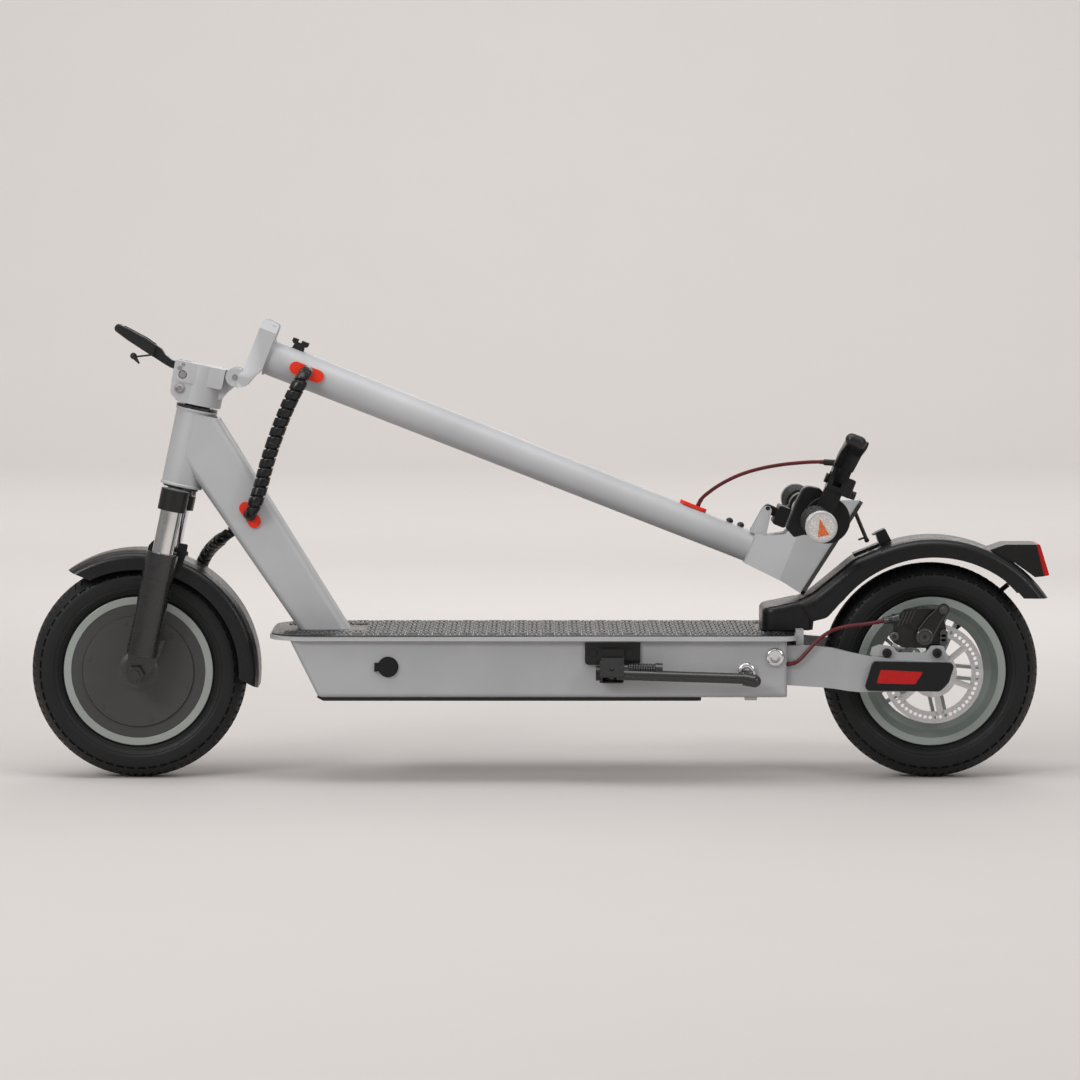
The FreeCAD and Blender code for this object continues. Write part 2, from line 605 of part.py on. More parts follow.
def caliper():
    outer = side([(412, 166, 4), (416, 190, 4), (427, 203, 6), (452, 207, 10), (467, 203, 6), (475, 186, 5),
                  (477, 164, 4), (466, 158, 4), (425, 159, 4)], -65, -53)
    inner = side([(420, 168, 4), (430, 190, 6), (470, 190, 6), (472, 166, 4)], -47.0, -40)
    bridge = side([(430, 189.5, 3), (430, 203, 4), (466, 203, 4), (468, 189.5, 3)], -54, -41)
    bridge = bridge.cut(disc_y(60.5, REAR_AXLE, -60, -30))
    body = union(outer, inner, bridge)
    for x, z in CALIPER_BOLTS:
        body = union(body, disc_y(6.5, (x, z), -71, -60))
        body = body.cut(disc_y(3.0, (x, z), -72, -52))
    body = body.cut(disc_y(5.0 + FIT, CALIPER_PIVOT, -66, -57))
    guide = rod(3.2, (404, -64.5, 190.6), (420.5, -63, 193.9))
    nut = rod(4.6, (408, -64.14, 191.4), (412, -63.77, 192.2))
    bracket = box(412, 420, -66, -60, 186, 198)
    body = union(body, bracket).cut(rod(3.25, (403, -64.6, 190.4), (422, -62.86, 194.2)))
    barrel = union(guide, nut.cut(bracket))
    bolts = []
    for x, z in CALIPER_BOLTS:
        bolt = union(disc_y(5.5, (x, z), -81, -76), disc_y(2.95, (x, z), -76, -54))
        bolts.append(bolt.cut(hexagon(5.0, (x, z), -82, -78)))
    arm = union(disc_y(11.0, CALIPER_PIVOT, -72, -66.1), disc_y(5.0, CALIPER_PIVOT, -66.1, -58),
                side([(441, 176), (459, 168), (479, 203, 5), (468, 210, 5)], -72, -67).cut(
                    disc_y(10.9, CALIPER_PIVOT, -73, -60)),
                disc_y(6.0, (472.5, 205.0), -76, -67))
    return {
        "caliper_body": Part.makeCompound([body, barrel] + bolts),
        "caliper_arm": arm,
        "rear_brake_cable": cable(REAR_CABLE, 2.3, "rear_brake_cable"),
    }


REAR_CABLE = [(289.0, -79.5, 141.0), (298.0, -79.5, 141.0), (308.0, -79.5, 150.0), (322.0, -79.5, 167.0),
              (340.0, -77.0, 180.5), (362.0, -71.5, 185.5), (384.0, -66.32, 186.6), (403.9, -64.51, 190.58)]


# ---- kickstand ---------------------------------------------------------------------------
def kickstand():
    px, py, pz = KICK_PIVOT
    plate = side([(53, 141, 4), (53, 166.5), (117.5, 166.5), (117.5, 141, 4)], -88.5, -85)
    screws = [disc_y(4.2, spot, -90.0, -88.5) for spot in ((62.5, 154.5), (104.0, 154.5))]

    def splayed(shape):
        moved = shape.copy()
        moved.rotate(V(0, 0, 0), V(1, 0, 0), -KICK_SPLAY)
        moved.translate(V(px, py, pz))
        return moved

    cheeks = union(side([(-12, 10), (-12, -11, 2), (14, -11, 2), (14, 10)], 6.3, 9.5),
                   side([(-12, 10), (-12, -11, 2), (14, -11, 2), (14, 10)], -9.5, -6.3))
    yoke = union(cheeks, box(-12, 14, -9.5, 12.0, 9.5, 13))
    pin = rod(3.0, (0, -11.0, 0), (0, 11.0, 0))
    nose = union(rod(8.6, (-18.5, 0, -2.5), (-11.0, 0, -2.5)), box(-14, -10.5, -9.4, 9.4, -10.5, 9.6))
    bracket = union(splayed(union(yoke, nose)), splayed(pin), box(72, 98, -100, -87, 148, 160).cut(
        splayed(box(-20, 20, -30, 6.5, -30, 9.4))))
    bracket = union(plate, bracket)

    eye = ring((9.0), 3.0 + FIT, (0, -6.0, 0), (0, 6.0, 0))
    shank = rod(6.2, (6.0, 0, -4.0), (160.0, 0, -4.0))
    neck = box(7.0, 26, -5.0, 5.0, -8.5, 4.5)
    collar_left = rod(5.4, (14.6, 0, 3.5), (18.4, 0, 3.5))
    collar_right = rod(8.2, (50.5, 0, 3.5), (59, 0, 3.5))
    core = rod(4.0, (15, 0, 3.5), (55, 0, 3.5))
    foot = union(rod(7.6, (153, 0, -4.5), (166, 0, -6.5)), Part.makeSphere(7.6, V(166, 0, -6.5)))
    leg = union(union(eye, neck), shank, core)
    leg = union(leg, collar_left, collar_right)
    leg = union(leg, foot)
    leg = leg.cut(rod(3.0 + FIT, (0, -10, 0), (0, 10, 0)))
    coils = [Part.makeTorus(6.2, 1.25, V(20.6 + 2.85 * i, 0, 3.5), V(1, 0, 0)) for i in range(11)]
    turned = []
    for shape in [leg] + [c.cut(leg) for c in coils]:
        shape = shape.copy()
        shape.rotate(V(0, 0, 0), Y_AXIS, KICK_SLOPE)
        turned.append(splayed(shape))
    return {
        "kickstand_bracket": Part.makeCompound([bracket] + screws),
        "kickstand_leg": Part.makeCompound(turned),
    }


# ---- fork and fold base ------------------------------------------------------------------
def fork():
    crown = box(-13, 13, -LEG_Y, LEG_Y, 197, 212)
    crown = union(crown, rod(20.0, (0, 0, 197), (0, 0, 214)), rod(STEERER_R, (0, 0, 200), (0, 0, 362)))
    collars = []
    for y in (-LEG_Y, LEG_Y):
        collars.append(rod(16.5, (-1, y, 197), (-1, y, 222)).cut(rod(STANCHION_R, (-1, y, 190), (-1, y, 219))))
        crown = crown.cut(rod(16.5, (-1, y, 190), (-1, y, 225)))
    crown = crown.cut(rod(11.0, (0, 0, 195), (0, 0, 363)))
    crown = union(crown, *collars)

    stanchions, springs, legs = [], [], []
    for y in (-LEG_Y, LEG_Y):
        tube = rod(STANCHION_R, (-1, y, 62), (-1, y, 219)).cut(rod(9.5, (-1, y, 61), (-1, y, 212)))
        stanchions.append(on_head(tube))
        spring = [Part.makeTorus(7.5, 1.4, V(-1, y, 33 + 7 * i), V(0, 0, 1)) for i in range(16)]
        spring.append(rod(5.0, (-1, y, 31), (-1, y, 140)))
        springs.append(on_head(union(*spring)))
        leg = union(rod(LEG_R, (-1, y, 24), (-1, y, LEG_TOP)), rod(LEG_R + 0.8, (-1, y, 116), (-1, y, LEG_TOP)))
        leg = leg.cut(rod(STANCHION_R + FIT, (-1, y, 30), (-1, y, LEG_TOP + 1)))
        low, high = sorted((math.copysign(56.0, y), math.copysign(62.0, y)))
        tab = side([(-17, 30), (-17, 24), (-14, -2, 6), (-9, -12, 5), (3, -11, 8), (13, 4, 12), (21, 30), (23, 47, 1),
                    (16, 44)], low, high)
        tab = tab.cut(rod(STANCHION_R + 3, (-1, y, 30), (-1, y, 60)))
        tab = tab.cut(disc_y(AXLE_R + 0.02, to_head(*FRONT_AXLE), -80, 80))
        legs.append(on_head(max(union(leg, tab).Solids, key=lambda s: s.Volume)))
    return {
        "fork_crown": on_head(crown),
        "stanchions": Part.makeCompound(stanchions),
        "fork_springs": Part.makeCompound(springs),
        "fork_legs": Part.makeCompound(legs),
    }


def front_fender():
    outer, inner, half, wall = 144.0, 121.0, 41.0, 2.5
    section = [(inner, half), (outer - 5, half, 8), (outer, half - 16, 14), (outer, -half + 16, 14),
               (outer - 5, -half, 8), (inner, -half), (inner, -half + wall), (outer - 7, -half + wall, 6),
               (outer - wall, -half + 17, 10), (outer - wall, half - 17, 10), (outer - 7, half - wall, 6),
               (inner, half - wall)]
    arch = wheel_section(section, (FRONT_AXLE[0] - 1.5, FRONT_AXLE[1]), -8.0, 132.0)
    tip = side([(-556.5, 247.5), (-529.0, 236.0), (-529.0, 215.0), (-585.0, 215.0)], -60, 60)
    arch = arch.cut(tip)
    arch = arch.cut(side([(-358, 122.0), (-328, 105.5), (-328, 90), (-358, 90)], -60, 60))
    tabs = []
    eared = [(-20, 128), (-20, 150, 3), (-16, 157, 3), (-9, 157, 2), (-9, 147), (14, 147), (14, 160, 2),
             (25, 160.5, 2), (25, 147, 3), (22, 126)]
    plain = [(-20, 128), (-20, 145, 3), (22, 145, 3), (22, 126)]
    for y0, y1, edge in ((-44.0, -40.5, eared), (40.5, 44.0, plain)):
        bracket = side(edge, y0, y1)
        for y in (-LEG_Y, LEG_Y):
            bracket = bracket.cut(rod(LEG_R + 0.9, (-1, y, 100), (-1, y, 147)))
        tabs.append(on_head(max(bracket.Solids, key=lambda s: s.Volume)))
    return {"front_fender": union(arch, *tabs)}


def fold_base():
    block = side([(-34.5, MATING_S, 3), (-34.5, 345), (-33, 329, 8), (-22, 321.5), (10, 321.5), (10, MATING_S)],
                 -25, 25)
    sleeve = rod(27.0, (0, 0, 321.5), (0, 0, MATING_S))
    deck_top = side([(-30, 345, 4), (-30, MATING_S), (25.5, MATING_S), (25.5, 345, 4)], -26, 26)
    lug = side([(20, MATING_S), (20, 332), (26, 333.5), (31, 342, 6), (40, 353.3), (44, 360),
                (40, MATING_S)], -15, 15)
    knuckle = disc_y(10.0, HINGE, -15, 15)
    lug = lug.common(union(box(0, HINGE[0], -20, 20, 320, MATING_S), disc_y(10.0, HINGE, -20, 20)))
    body = union(block, sleeve, deck_top, lug, knuckle)
    body = body.cut(side([(28.5, 369.01), (28.5, 380), (60, 380), (60, 300), (48, 340)], -40, -15.01))
    body = body.cut(rod(STEERER_R + 0.02, (0, 0, 320), (0, 0, 362)))
    body = body.cut(disc_y(3.5 + FIT, HINGE, -20, 20))
    slot = side([(-40, 350), (-19.5, 350), (-17.5, 353), (-17.5, 372), (-40, 372)], -7.5, 7.5)
    body = body.cut(slot).cut(disc_y(3.0 + 0.02, LATCH_PIVOT, -30, 30))
    body = body.cut(disc_y(5.0, (-22.8, 353.5), -26, -20)).cut(disc_y(6.0, (-23.2, 337.3), -26, -20))
    body = body.cut(disc_y(2.5, (-24.2, 365.4), -26, -20))
    body = body.cut(box(-40, 60, 25.01, 40, 300, 380).common(box(-40, -27, 25, 40, 300, 400)))

    hardware = [disc_y(3.5, HINGE, -27, 27), disc_y(3.0, LATCH_PIVOT, -25.5, 25.5)]
    head = disc_y(5.9, (-23.2, 337.3), -27.0, -20.2)
    hardware.append(head.cut(hexagon(6.0, (-23.2, 337.3), -28, -23.5)))
    hardware.append(hexagon(8.0, (-22.8, 353.5), -26.0, -20.2))
    small = disc_y(2.4, (-24.2, 365.4), -25.9, -20.2)
    hardware.append(small.cut(hexagon(2.5, (-24.2, 365.4), -27, -24.9)))
    return {
        "fold_base": on_head(body),
        "fold_hardware": Part.makeCompound([on_head(h) for h in hardware]),
    }


LEVER_OPEN = [(-21.0, 355.0, 2), (-40.0, 357.6, 4), (-50.0, 360.9, 6), (-68.2, 368.3), (-94.4, 378.4),
              (-114.9, 387.9, 5), (-111.1, 396.1, 4), (-97.4, 392.6), (-73.7, 385.6), (-54.5, 377.0, 3),
              (-49.5, 371.5, 3), (-40.0, 366.5, 6), (-26.0, 366.0, 5)]


def latch_lever():
    blade = side(LEVER_OPEN, -13.5, 13.5)
    neck_only = box(-62, -10, -20, -6.5, 340, 400)
    blade = blade.cut(neck_only).cut(neck_only.mirror(V(0, 0, 0), Y_AXIS))
    blade = blade.makeFillet(1.5, [e for e in blade.Edges if e.BoundBox.XLength > 14
                                   and abs(abs(e.BoundBox.YMin) - 13.5) < 0.01 and e.BoundBox.YLength < 0.1])
    along = math.degrees(math.atan2(391.2 - 374.5, -104.0 + 62.0))
    opening = box(-21.5, 21.5, -9.0, 9.0, -12, 12)
    opening.rotate(V(0, 0, 0), Y_AXIS, -along)
    opening.translate(V(-84.5, 0, 383.2))
    blade = blade.cut(opening)
    blade = union(blade, disc_y(6.2, LATCH_PIVOT, -6.5, 6.5))
    blade = blade.cut(disc_y(3.0 + FIT, LATCH_PIVOT, -30, 30))
    hook = union(rod(1.1, (-60.0, -3.0, 369.0), (-84.0, -3.0, 361.0)), Part.makeSphere(4.0, V(-85.5, -3.0, 361.8)),
                 cone(3.3, 1.0, (-85.5, -3.0, 361.8), (-77.0, -3.0, 354.4)))
    return {"latch_lever": on_head(union(blade, hook))}


# ---- stem and handlebar --------------------------------------------------------------------
def stem():
    s_low = 390.0
    flange = side([(-37.5, MATING_S + 0.4, 2), (-39.5, 375.6), (-38, s_low, 4), (17.5, s_low), (32, 382.5, 4),
                   (43.5, 378.5, 3), (48.3, 371, 3), (48.0, MATING_S + 0.4)], -26, 26)
    cheek = side([(HINGE[0] - 9, MATING_S + 3), (HINGE[0] - 9, HINGE[1]), (HINGE[0] + 11, HINGE[1]),
                  (48.0, MATING_S + 3)], -26, 26)
    cheek = union(cheek, disc_y(10.9, HINGE, -26, 26))
    flange = union(flange, cheek.cut(box(20, 60, -15.3, 15.3, 340, 380)))
    flange = flange.cut(disc_y(10.6, HINGE, -15.3, 15.3)).cut(disc_y(3.5 + FIT, HINGE, -30, 30))
    flange = flange.cut(box(-60, -17.5, -9.5, 9.5, 360, 400))
    corners = slab([(-60, -40), (-60, 40), (-14, 40), (-40, 13, 4), (-40, -13, 4), (-14, -40)], 360, 400)
    flange = flange.cut(corners)
    bolts = [disc_y(2.6, (-33.0, 384.0), y0, y1) for y0, y1 in ((-19.0, -14.0), (14.0, 19.0))]
    bolts = [b.cut(flange) for b in bolts]
    tube = cone(STEM_R_LOW, STEM_R_HIGH, (STEM_AXIS_R, 0, s_low + 0.02), (STEM_AXIS_R, 0, STEM_TOP))
    bore = cone(STEM_R_LOW - STEM_WALL, STEM_R_HIGH - STEM_WALL, (STEM_AXIS_R, 0, s_low - 1),
                (STEM_AXIS_R, 0, STEM_TOP + 1))
    collar = ring(STEM_R_LOW + 1.5, STEM_R_LOW - 1, (STEM_AXIS_R, 0, s_low + 0.02), (STEM_AXIS_R, 0, s_low + 2.5))
    tube = union(tube.cut(bore), collar).cut(box(-60, -17.5, -7.4, 7.4, 380, 396))
    tube = tube.cut(rod(6.0, (1.3, -30, 438.7), (1.3, -10, 438.7)))
    tube = tube.cut(rod(3.0, (-30, 0, 921.0), (-10, 0, 921.0)))
    cap = rod(17.9, (STEM_AXIS_R, 0, s_low + 0.02), (STEM_AXIS_R, 0, s_low + 3)).cut(
        box(-60, -14, -7.4, 7.4, 380, 396))
    return {"stem_tube": Part.makeCompound([folded(flange), folded(tube), folded(cap)]
                                           + [folded(b) for b in bolts if b.Volume > 1])}


HEAD_SIDE = [(-16.4, STEM_TOP), (-17.5, 1012.0), (-29.0, 1033.5, 8), (-47.0, 1037.0, 8), (-62.0, 1076.0, 14),
             (-90.5, 1079.5, 3), (-98.2, 1099.2), (29.4, 1074.6, 2), (24.5, 1050.0, 60), (20.1, STEM_TOP)]


def stem_head():
    casting = side(HEAD_SIDE, -30, 30)
    neck = box(-120, 60, -18.3, 18.3, 980, 1110)
    shoulders = Part.makeLoft([_rect(1002, 18.3), _rect(1046, 29.5)], True, True)
    upper = box(-130, 60, -29.5, 29.5, 1046, 1112)
    body = casting.common(union(neck, shoulders, upper))
    lower = rod(STEM_R_HIGH, (STEM_AXIS_R, 0, STEM_TOP), (STEM_AXIS_R, 0, 1004))
    keep = union(box(-130, 60, -60, 60, 1000, 1130), rod(STEM_R_HIGH + 0.02, (STEM_AXIS_R, 0, STEM_TOP - 1),
                                                         (STEM_AXIS_R, 0, 1002)))
    body = union(body.common(keep), lower)
    sleeve = rod(17.5, (BAR_RS[0], -28, BAR_RS[1]), (BAR_RS[0], 28, BAR_RS[1]))
    ears = []
    for y0, y1 in ((-13, -8), (8, 13)):
        ears.append(side([(-15.5, 994.0), (-46.5, 998.0, 3), (-53.5, 1002.0, 4), (-49, 1008.3, 4), (-22.5, 1012.5),
                          (-15.5, 1014.0)], y0, y1))
    body = union(body, sleeve, *ears)
    body = body.cut(disc_y(BAR_R + 0.02, BAR_RS, -40, 40)).cut(disc_y(2.5 + 0.01, HEADLIGHT_PIVOT, -20, 20))
    return {"stem_head": folded(body)}


def _rect(s, half):
    return Part.makePolygon([V(-130, -half, s), V(60, -half, s), V(60, half, s), V(-130, half, s),
                             V(-130, -half, s)])


def display():
    low, high = (29.9, 1074.8), (-98.6, 1099.6)
    run = V(high[0] - low[0], 0, high[1] - low[1])
    out = V(run.z, 0, -run.x).normalize()
    thick = 4.0
    corners = [low, high, (high[0] + out.x * thick, high[1] + out.z * thick),
               (low[0] + out.x * thick, low[1] + out.z * thick)]
    plate = side(corners, -33, 33)
    plate = plate.makeFillet(8.0, [e for e in plate.Edges if e.BoundBox.YLength < 0.01
                                   and abs(e.Length - thick) < 0.1])
    centre = V(-50.0, 0, 1090.2) + out * thick
    button_hole = Part.makeCylinder(6.5, 3.0, centre - out * 2.2, out)
    button = Part.makeCylinder(6.3, 2.9, centre - out * 1.1, out)
    plate = plate.cut(button_hole)
    return {
        "display_panel": folded(plate),
        "power_button": folded(button),
    }


def handlebar():
    r, s = BAR_RS
    bar = disc_y(BAR_R, BAR_RS, -250, 250).cut(disc_y(BAR_R - 2.2, BAR_RS, -251, 251))
    grips, lights = [], []
    for sign in (-1, 1):
        y = [sign * v for v in (152.0, 250.0, 250.02, 255.0, 262.0)]
        grip = rod(GRIP_R, (r, y[0], s), (r, y[1], s)).cut(rod(BAR_R, (r, y[0], s), (r, y[1], s)))
        rings = [rod(GRIP_R + 0.8, (r, sign * (160 + 12 * i), s), (r, sign * (166 + 12 * i), s)).cut(
            rod(BAR_R, (r, sign * 150, s), (r, sign * 260, s))) for i in range(7)]
        grips.append(folded(union(grip, *rings)))
        collar = rod(18.2, (r, y[2], s), (r, y[3], s))
        lens = rod(18.0, (r, y[3], s), (r, y[4], s))
        lens = lens.makeFillet(2.0, [e for e in lens.Edges if abs(e.BoundBox.YMin - y[4]) < 0.1
                                     and e.BoundBox.YLength < 0.1 and e.BoundBox.XLength > 5])
        lights += [folded(collar), folded(lens)]
    return {
        "handlebar": folded(bar),
        "grips": Part.makeCompound(grips),
        "bar_end_lights": Part.makeCompound(lights),
    }


POD_SIDE = [(-33.2, 1036.2, 3), (-39.6, 1023.3, 4), (-72.0, 1022.9), (-93.5, 1024.7, 10), (-97.0, 1043.0, 6),
            (-84.0, 1066.5, 6), (-46.0, 1066.5, 4), (-40.2, 1046.0, 3)]
THROTTLE_PIVOT = (-45.5, 1034.0)


def control_pods():
    bore = disc_y(BAR_R + 0.02, BAR_RS, -150, 150)
    left = side(POD_SIDE, -118, -94)
    left = left.makeFillet(2.0, [e for e in left.Edges if e.BoundBox.YLength < 0.01])
    guard = disc_y(27.3, (-65.9, 1063.3), -123, -117.5)
    guard = guard.makeFillet(1.5, [e for e in guard.Edges if e.Length > 30])
    left = union(left, guard).cut(bore)
    left = left.cut(box(-81.0, -65.0, -110.0, -102.0, 1062.0, 1070.0))
    left = left.cut(rod(4.2, (-54.0, -106.0, 1062.0), (-54.0, -106.0, 1070.0)))
    switch = union(box(-78.7, -67.3, -109.7, -102.3, 1064.0, 1067.6), box(-74.0, -72.0, -109.7, -102.3, 1067.5, 1069.0))
    horn = rod(4.0, (-54.0, -106.0, 1064.0), (-54.0, -106.0, 1068.4))

    right = union(disc_y(16.0, BAR_RS, 96.0, 120.0),
                  side([(-60.0, 1036.0), (-48.0, 1026.5, 3), (-37.5, 1033.0, 3), (-47.0, 1052.0)], 98.0, 118.0))
    right = right.cut(bore).cut(side([(-60.0, 1041.5), (-60.0, 1000.0), (-30.0, 1000.0), (-30.0, 1041.5)],
                                     103.0, 113.0))
    pin = disc_y(2.5, THROTTLE_PIVOT, 99.0, 117.0)
    right = union(right, pin)
    paddle = union(disc_y(5.0, THROTTLE_PIVOT, 103.4, 112.6),
                   side([(-49.5, 1035.0), (-45.0, 1016.0, 8), (-42.0, 1006.0, 1), (-36.0, 1007.5, 1),
                         (-37.5, 1018.0, 8), (-41.5, 1035.0)], 103.4, 112.6))
    paddle = paddle.cut(disc_y(2.5 + FIT, THROTTLE_PIVOT, 90, 130))
    return {
        "control_pods": Part.makeCompound([folded(left), folded(right)]),
        "turn_switch": folded(switch),
        "horn_button": folded(horn),
        "throttle_paddle": folded(paddle),
    }


LEVER_PIVOT = (-118.0, -148.0)   # (r, y)
LEVER_MID = 1056.0


def brake_lever():
    r, s = BAR_RS
    low, high = LEVER_MID - 10.5, LEVER_MID + 10.5
    clamp = disc_y(16.0, BAR_RS, -150, -132)
    arm = side([(r, s - 6), (-84.0, low, 4), (-112, low), (-112, high), (-92, high, 4), (r, s + 14)], -148, -136)
    yoke = side([(-102, low), (-134, low, 4), (-134, high, 4), (-102, high)], -158, -132)
    slot = box(-140, -107.0, -170, -137, LEVER_MID - 5.1, LEVER_MID + 5.1)
    gland = rod(3.8, *BARREL)
    knob = rod(5.5, (-112.0, -142.0, low - 4.0), (-112.0, -142.0, low + 1))
    sensor = box(-121, -99, -150, -131, high - 0.5, high + 10)
    sensor = sensor.makeFillet(2.5, [e for e in sensor.Edges if e.CenterOfMass.z > high + 9])
    screw = rod(5.0, (-104.0, -141.0, high + 9), (-104.0, -141.0, high + 15.5))
    perch = union(clamp, arm, yoke, knob).cut(slot).cut(disc_y(BAR_R + 0.02, BAR_RS, -160, -120))
    perch = union(perch, gland.cut(yoke))
    perch = union(perch, sensor, screw)
    pin = rod(3.0, (LEVER_PIVOT[0], LEVER_PIVOT[1], low - 1.5), (LEVER_PIVOT[0], LEVER_PIVOT[1], high + 1.5))
    perch = union(perch, pin)
    blade_plan = [(-110.5, -141, 3), (-110.5, -156, 4), (-128, -178, 20), (-149, -205, 30), (-160.5, -238, 4),
                  (-169.5, -238, 4), (-160.0, -196, 30), (-140, -160, 16), (-129, -141, 5)]
    blade = slab(blade_plan, LEVER_MID - 4.8, LEVER_MID + 4.8)
    palm = slab([(-124, -170, 4), (-149, -200, 14), (-160, -231, 4), (-170.5, -231, 4), (-161, -196, 20),
                 (-145, -170, 8)], 1042.5, 1066.5)
    palm = palm.makeFillet(2.0, [e for e in palm.Edges if e.BoundBox.ZLength < 0.01])
    tip = union(rod(7.4, (-165.3, -238.0, 1046.0), (-165.3, -238.0, 1055.5)),
                Part.makeSphere(7.4, V(-165.3, -238.0, 1046.0)), Part.makeSphere(7.4, V(-165.3, -238.0, 1055.5)))
    blade = union(blade, palm, tip).cut(rod(3.0 + FIT, (LEVER_PIVOT[0], LEVER_PIVOT[1], 1030),
                                            (LEVER_PIVOT[0], LEVER_PIVOT[1], 1080)))
    return {
        "brake_perch": folded(perch),
        "brake_lever": folded(blade),
    }


BARREL = ((-131.9, -140.0, 1047.9), (-127.5, -124.0, 1036.7))   # brake cable gland (r, y, s)


def headlight():
    case = side([(-34.5, 1013.5, 3), (-34.5, 1029.5, 3), (-58.0, 1029.0, 2), (-58.0, 1014.5, 2)], -24, 24)
    case = case.cut(box(-59, -55.5, -21, 21, 1016, 1028))
    link = side([(-53.5, 1000.0, 4), (-44.5, 999.0, 4), (-42.0, 1014.0), (-53.0, 1015.0)], -7.6, 7.6)
    case = union(case, link).cut(disc_y(2.5 + FIT, HEADLIGHT_PIVOT, -20, 20))
    lens = box(-58.0, -55.6, -20.8, 20.8, 1016.2, 1027.8)
    return {"headlight": folded(case), "headlight_lens": folded(lens)}


HOOK_TOP = (373.2, 0.0, 313.0)
HOOK_END = (387.0, 0.0, 280.2)


def stem_fittings():
    lug_foot = side([(-17.9, 412), (-17.9, 427), (-25.5, 425.5), (-25.5, 413.5)], -5, 5)
    lug_head = union(side([(-25.5, 409.5), (-25.5, 416.5), (-30.5, 416.5, 1), (-30.5, 409.5, 1)], -7, 7),
                     side([(-25.5, 420.5), (-25.5, 429.5), (-30.5, 429.5, 1), (-30.5, 420.5, 1)], -7, 7),
                     side([(-24.0, 411), (-24.0, 428), (-27.0, 428), (-27.0, 411)], -5, 5))
    tube = cone(STEM_R_LOW + 0.02, STEM_R_HIGH + 0.02, (STEM_AXIS_R, 0, 390.0), (STEM_AXIS_R, 0, STEM_TOP))
    lug = union(lug_foot, lug_head).cut(tube)
    screws = []
    for s in (967.5, 981.5):
        shank_low = STEM_AXIS_R - STEM_R_HIGH - 0.1
        screw = union(rod(3.0, (shank_low - 1.5, 0, s), (shank_low + 2.0, 0, s)),
                      Part.makeSphere(4.4, V(shank_low - 1.0, 0, s)).common(
                          box(shank_low - 6, shank_low - 0.5, -6, 6, s - 6, s + 6)))
        screws.append(folded(screw.cut(tube)))
    hook = union(rod(2.3, HOOK_TOP, HOOK_END), Part.makeSphere(3.0, V(*HOOK_END)),
                 rod(1.2, (386.0, 0.0, 283.6), (377.0, 0.0, 280.6)))
    hook = hook.cut(folded(box(-120, 60, -60, 60, 1000, 1104.0)).common(box(0, 372, -100, 100, 0, 600)))

    headlight_pin = folded(disc_y(2.5, HEADLIGHT_PIVOT, -13.5, 13.5))

    plug = stadium_plug(42.0, 15.0, 3.4)
    plug = plug.cut(disc_y(7.6, (0, 0), -5, 5))
    plug.rotate(V(0, 0, 0), Y_AXIS, -90)
    side_plug = plug.copy()
    side_plug.translate(V(1.3, -20.6, 439.5))
    side_plug = side_plug.cut(tube)
    front = stadium_plug(33.0, 12.0, 4.0)
    front.rotate(V(0, 0, 0), Y_AXIS, -90)
    front.rotate(V(0, 0, 0), V(0, 0, 1), -90)
    front.translate(V(STEM_AXIS_R - 18.4, 0, 921.0))
    front = front.cut(tube)
    return {
        "stem_hooks": Part.makeCompound([folded(lug), headlight_pin] + screws + [hook]),
        "stem_grommets": Part.makeCompound([folded(side_plug), folded(front)]),
    }


FRONT_CABLE = [(187.3, 0.0, 320.9), (190.4, 0.0, 328.6), (199.0, -9.0, 337.0), (213.0, -20.0, 347.8),
               (234.0, -37.0, 359.8), (257.0, -56.0, 368.2), (282.0, -77.0, 374.2), (303.0, -96.0, 377.3),
               (319.9, -111.2, 379.3), (329.44, -123.92, 379.4)]
STEM_HARNESS = [(-274.2, -27.0, 479.6), (-275.5, -36.0, 477.0), (-280.0, -42.0, 468.0), (-290.0, -41.0, 450.0),
                (-301.5, -38.5, 424.5), (-311.5, -37.5, 397.5), (-320.5, -37.5, 370.0), (-327.0, -39.0, 344.0),
                (-334.0, -41.5, 324.0), (-339.0, -37.0, 314.0), (-340.4, -27.5, 311.7)]
HUB_HARNESS = [(-362.7, 8.0, 291.1), (-371.0, 8.0, 285.43), (-383.0, 28.0, 275.5), (-396.0, 49.0, 264.0),
               (-406.0, 64.0, 247.0), (-411.0, 73.0, 222.0), (-418.0, 79.0, 198.0), (-430.0, 84.0, 181.5),
               (-445.0, 87.5, 168.5), (-457.4, 88.0, 150.15), (-465.2, 88.0, 138.6)]
HUB_GLAND = (-465.26, 88.0, 138.52)
STEM_HARNESS_R = 7.0        # at its ends; the wrapped middle is thicker
HUB_HARNESS_R = 6.5


def cables():
    return {
        "front_brake_cable": cable(FRONT_CABLE, 2.3, "front_brake_cable"),
        "stem_harness": union(cable(STEM_HARNESS, STEM_HARNESS_R, "stem_harness"),
                              cable(STEM_HARNESS[2:-2], 8.8, "stem_harness wrap")),
        "hub_harness": union(cable(HUB_HARNESS, HUB_HARNESS_R, "hub_harness"),
                             cable(HUB_HARNESS[2:6], 8.0, "hub_harness wrap")),
    }


def build():
    nodes = {}
    for make in (deck, frame_tubes, front_wheel, front_axle, rear_wheel, rear_axle, rear_fork, rear_fender,
                 caliper, kickstand, fork, front_fender, fold_base, latch_lever, stem, stem_head, display,
                 handlebar, control_pods, brake_lever, headlight, stem_fittings, cables):
        nodes.update(make())
    covers, reflectors = end_covers()
    nodes["arm_end_covers"] = Part.makeCompound(covers)
    nodes["red_lenses"] = Part.makeCompound([nodes.pop("tail_lens_part")] + reflectors)
    return nodes


def save(nodes):
    os.makedirs("parts", exist_ok=True)
    for name, shape in sorted(nodes.items()):
        if not shape.isValid() or not shape.Solids:
            print("check", name)
        shape.exportStep(os.path.join("parts", name + ".step"))
    print(len(nodes), "nodes")


save(build())
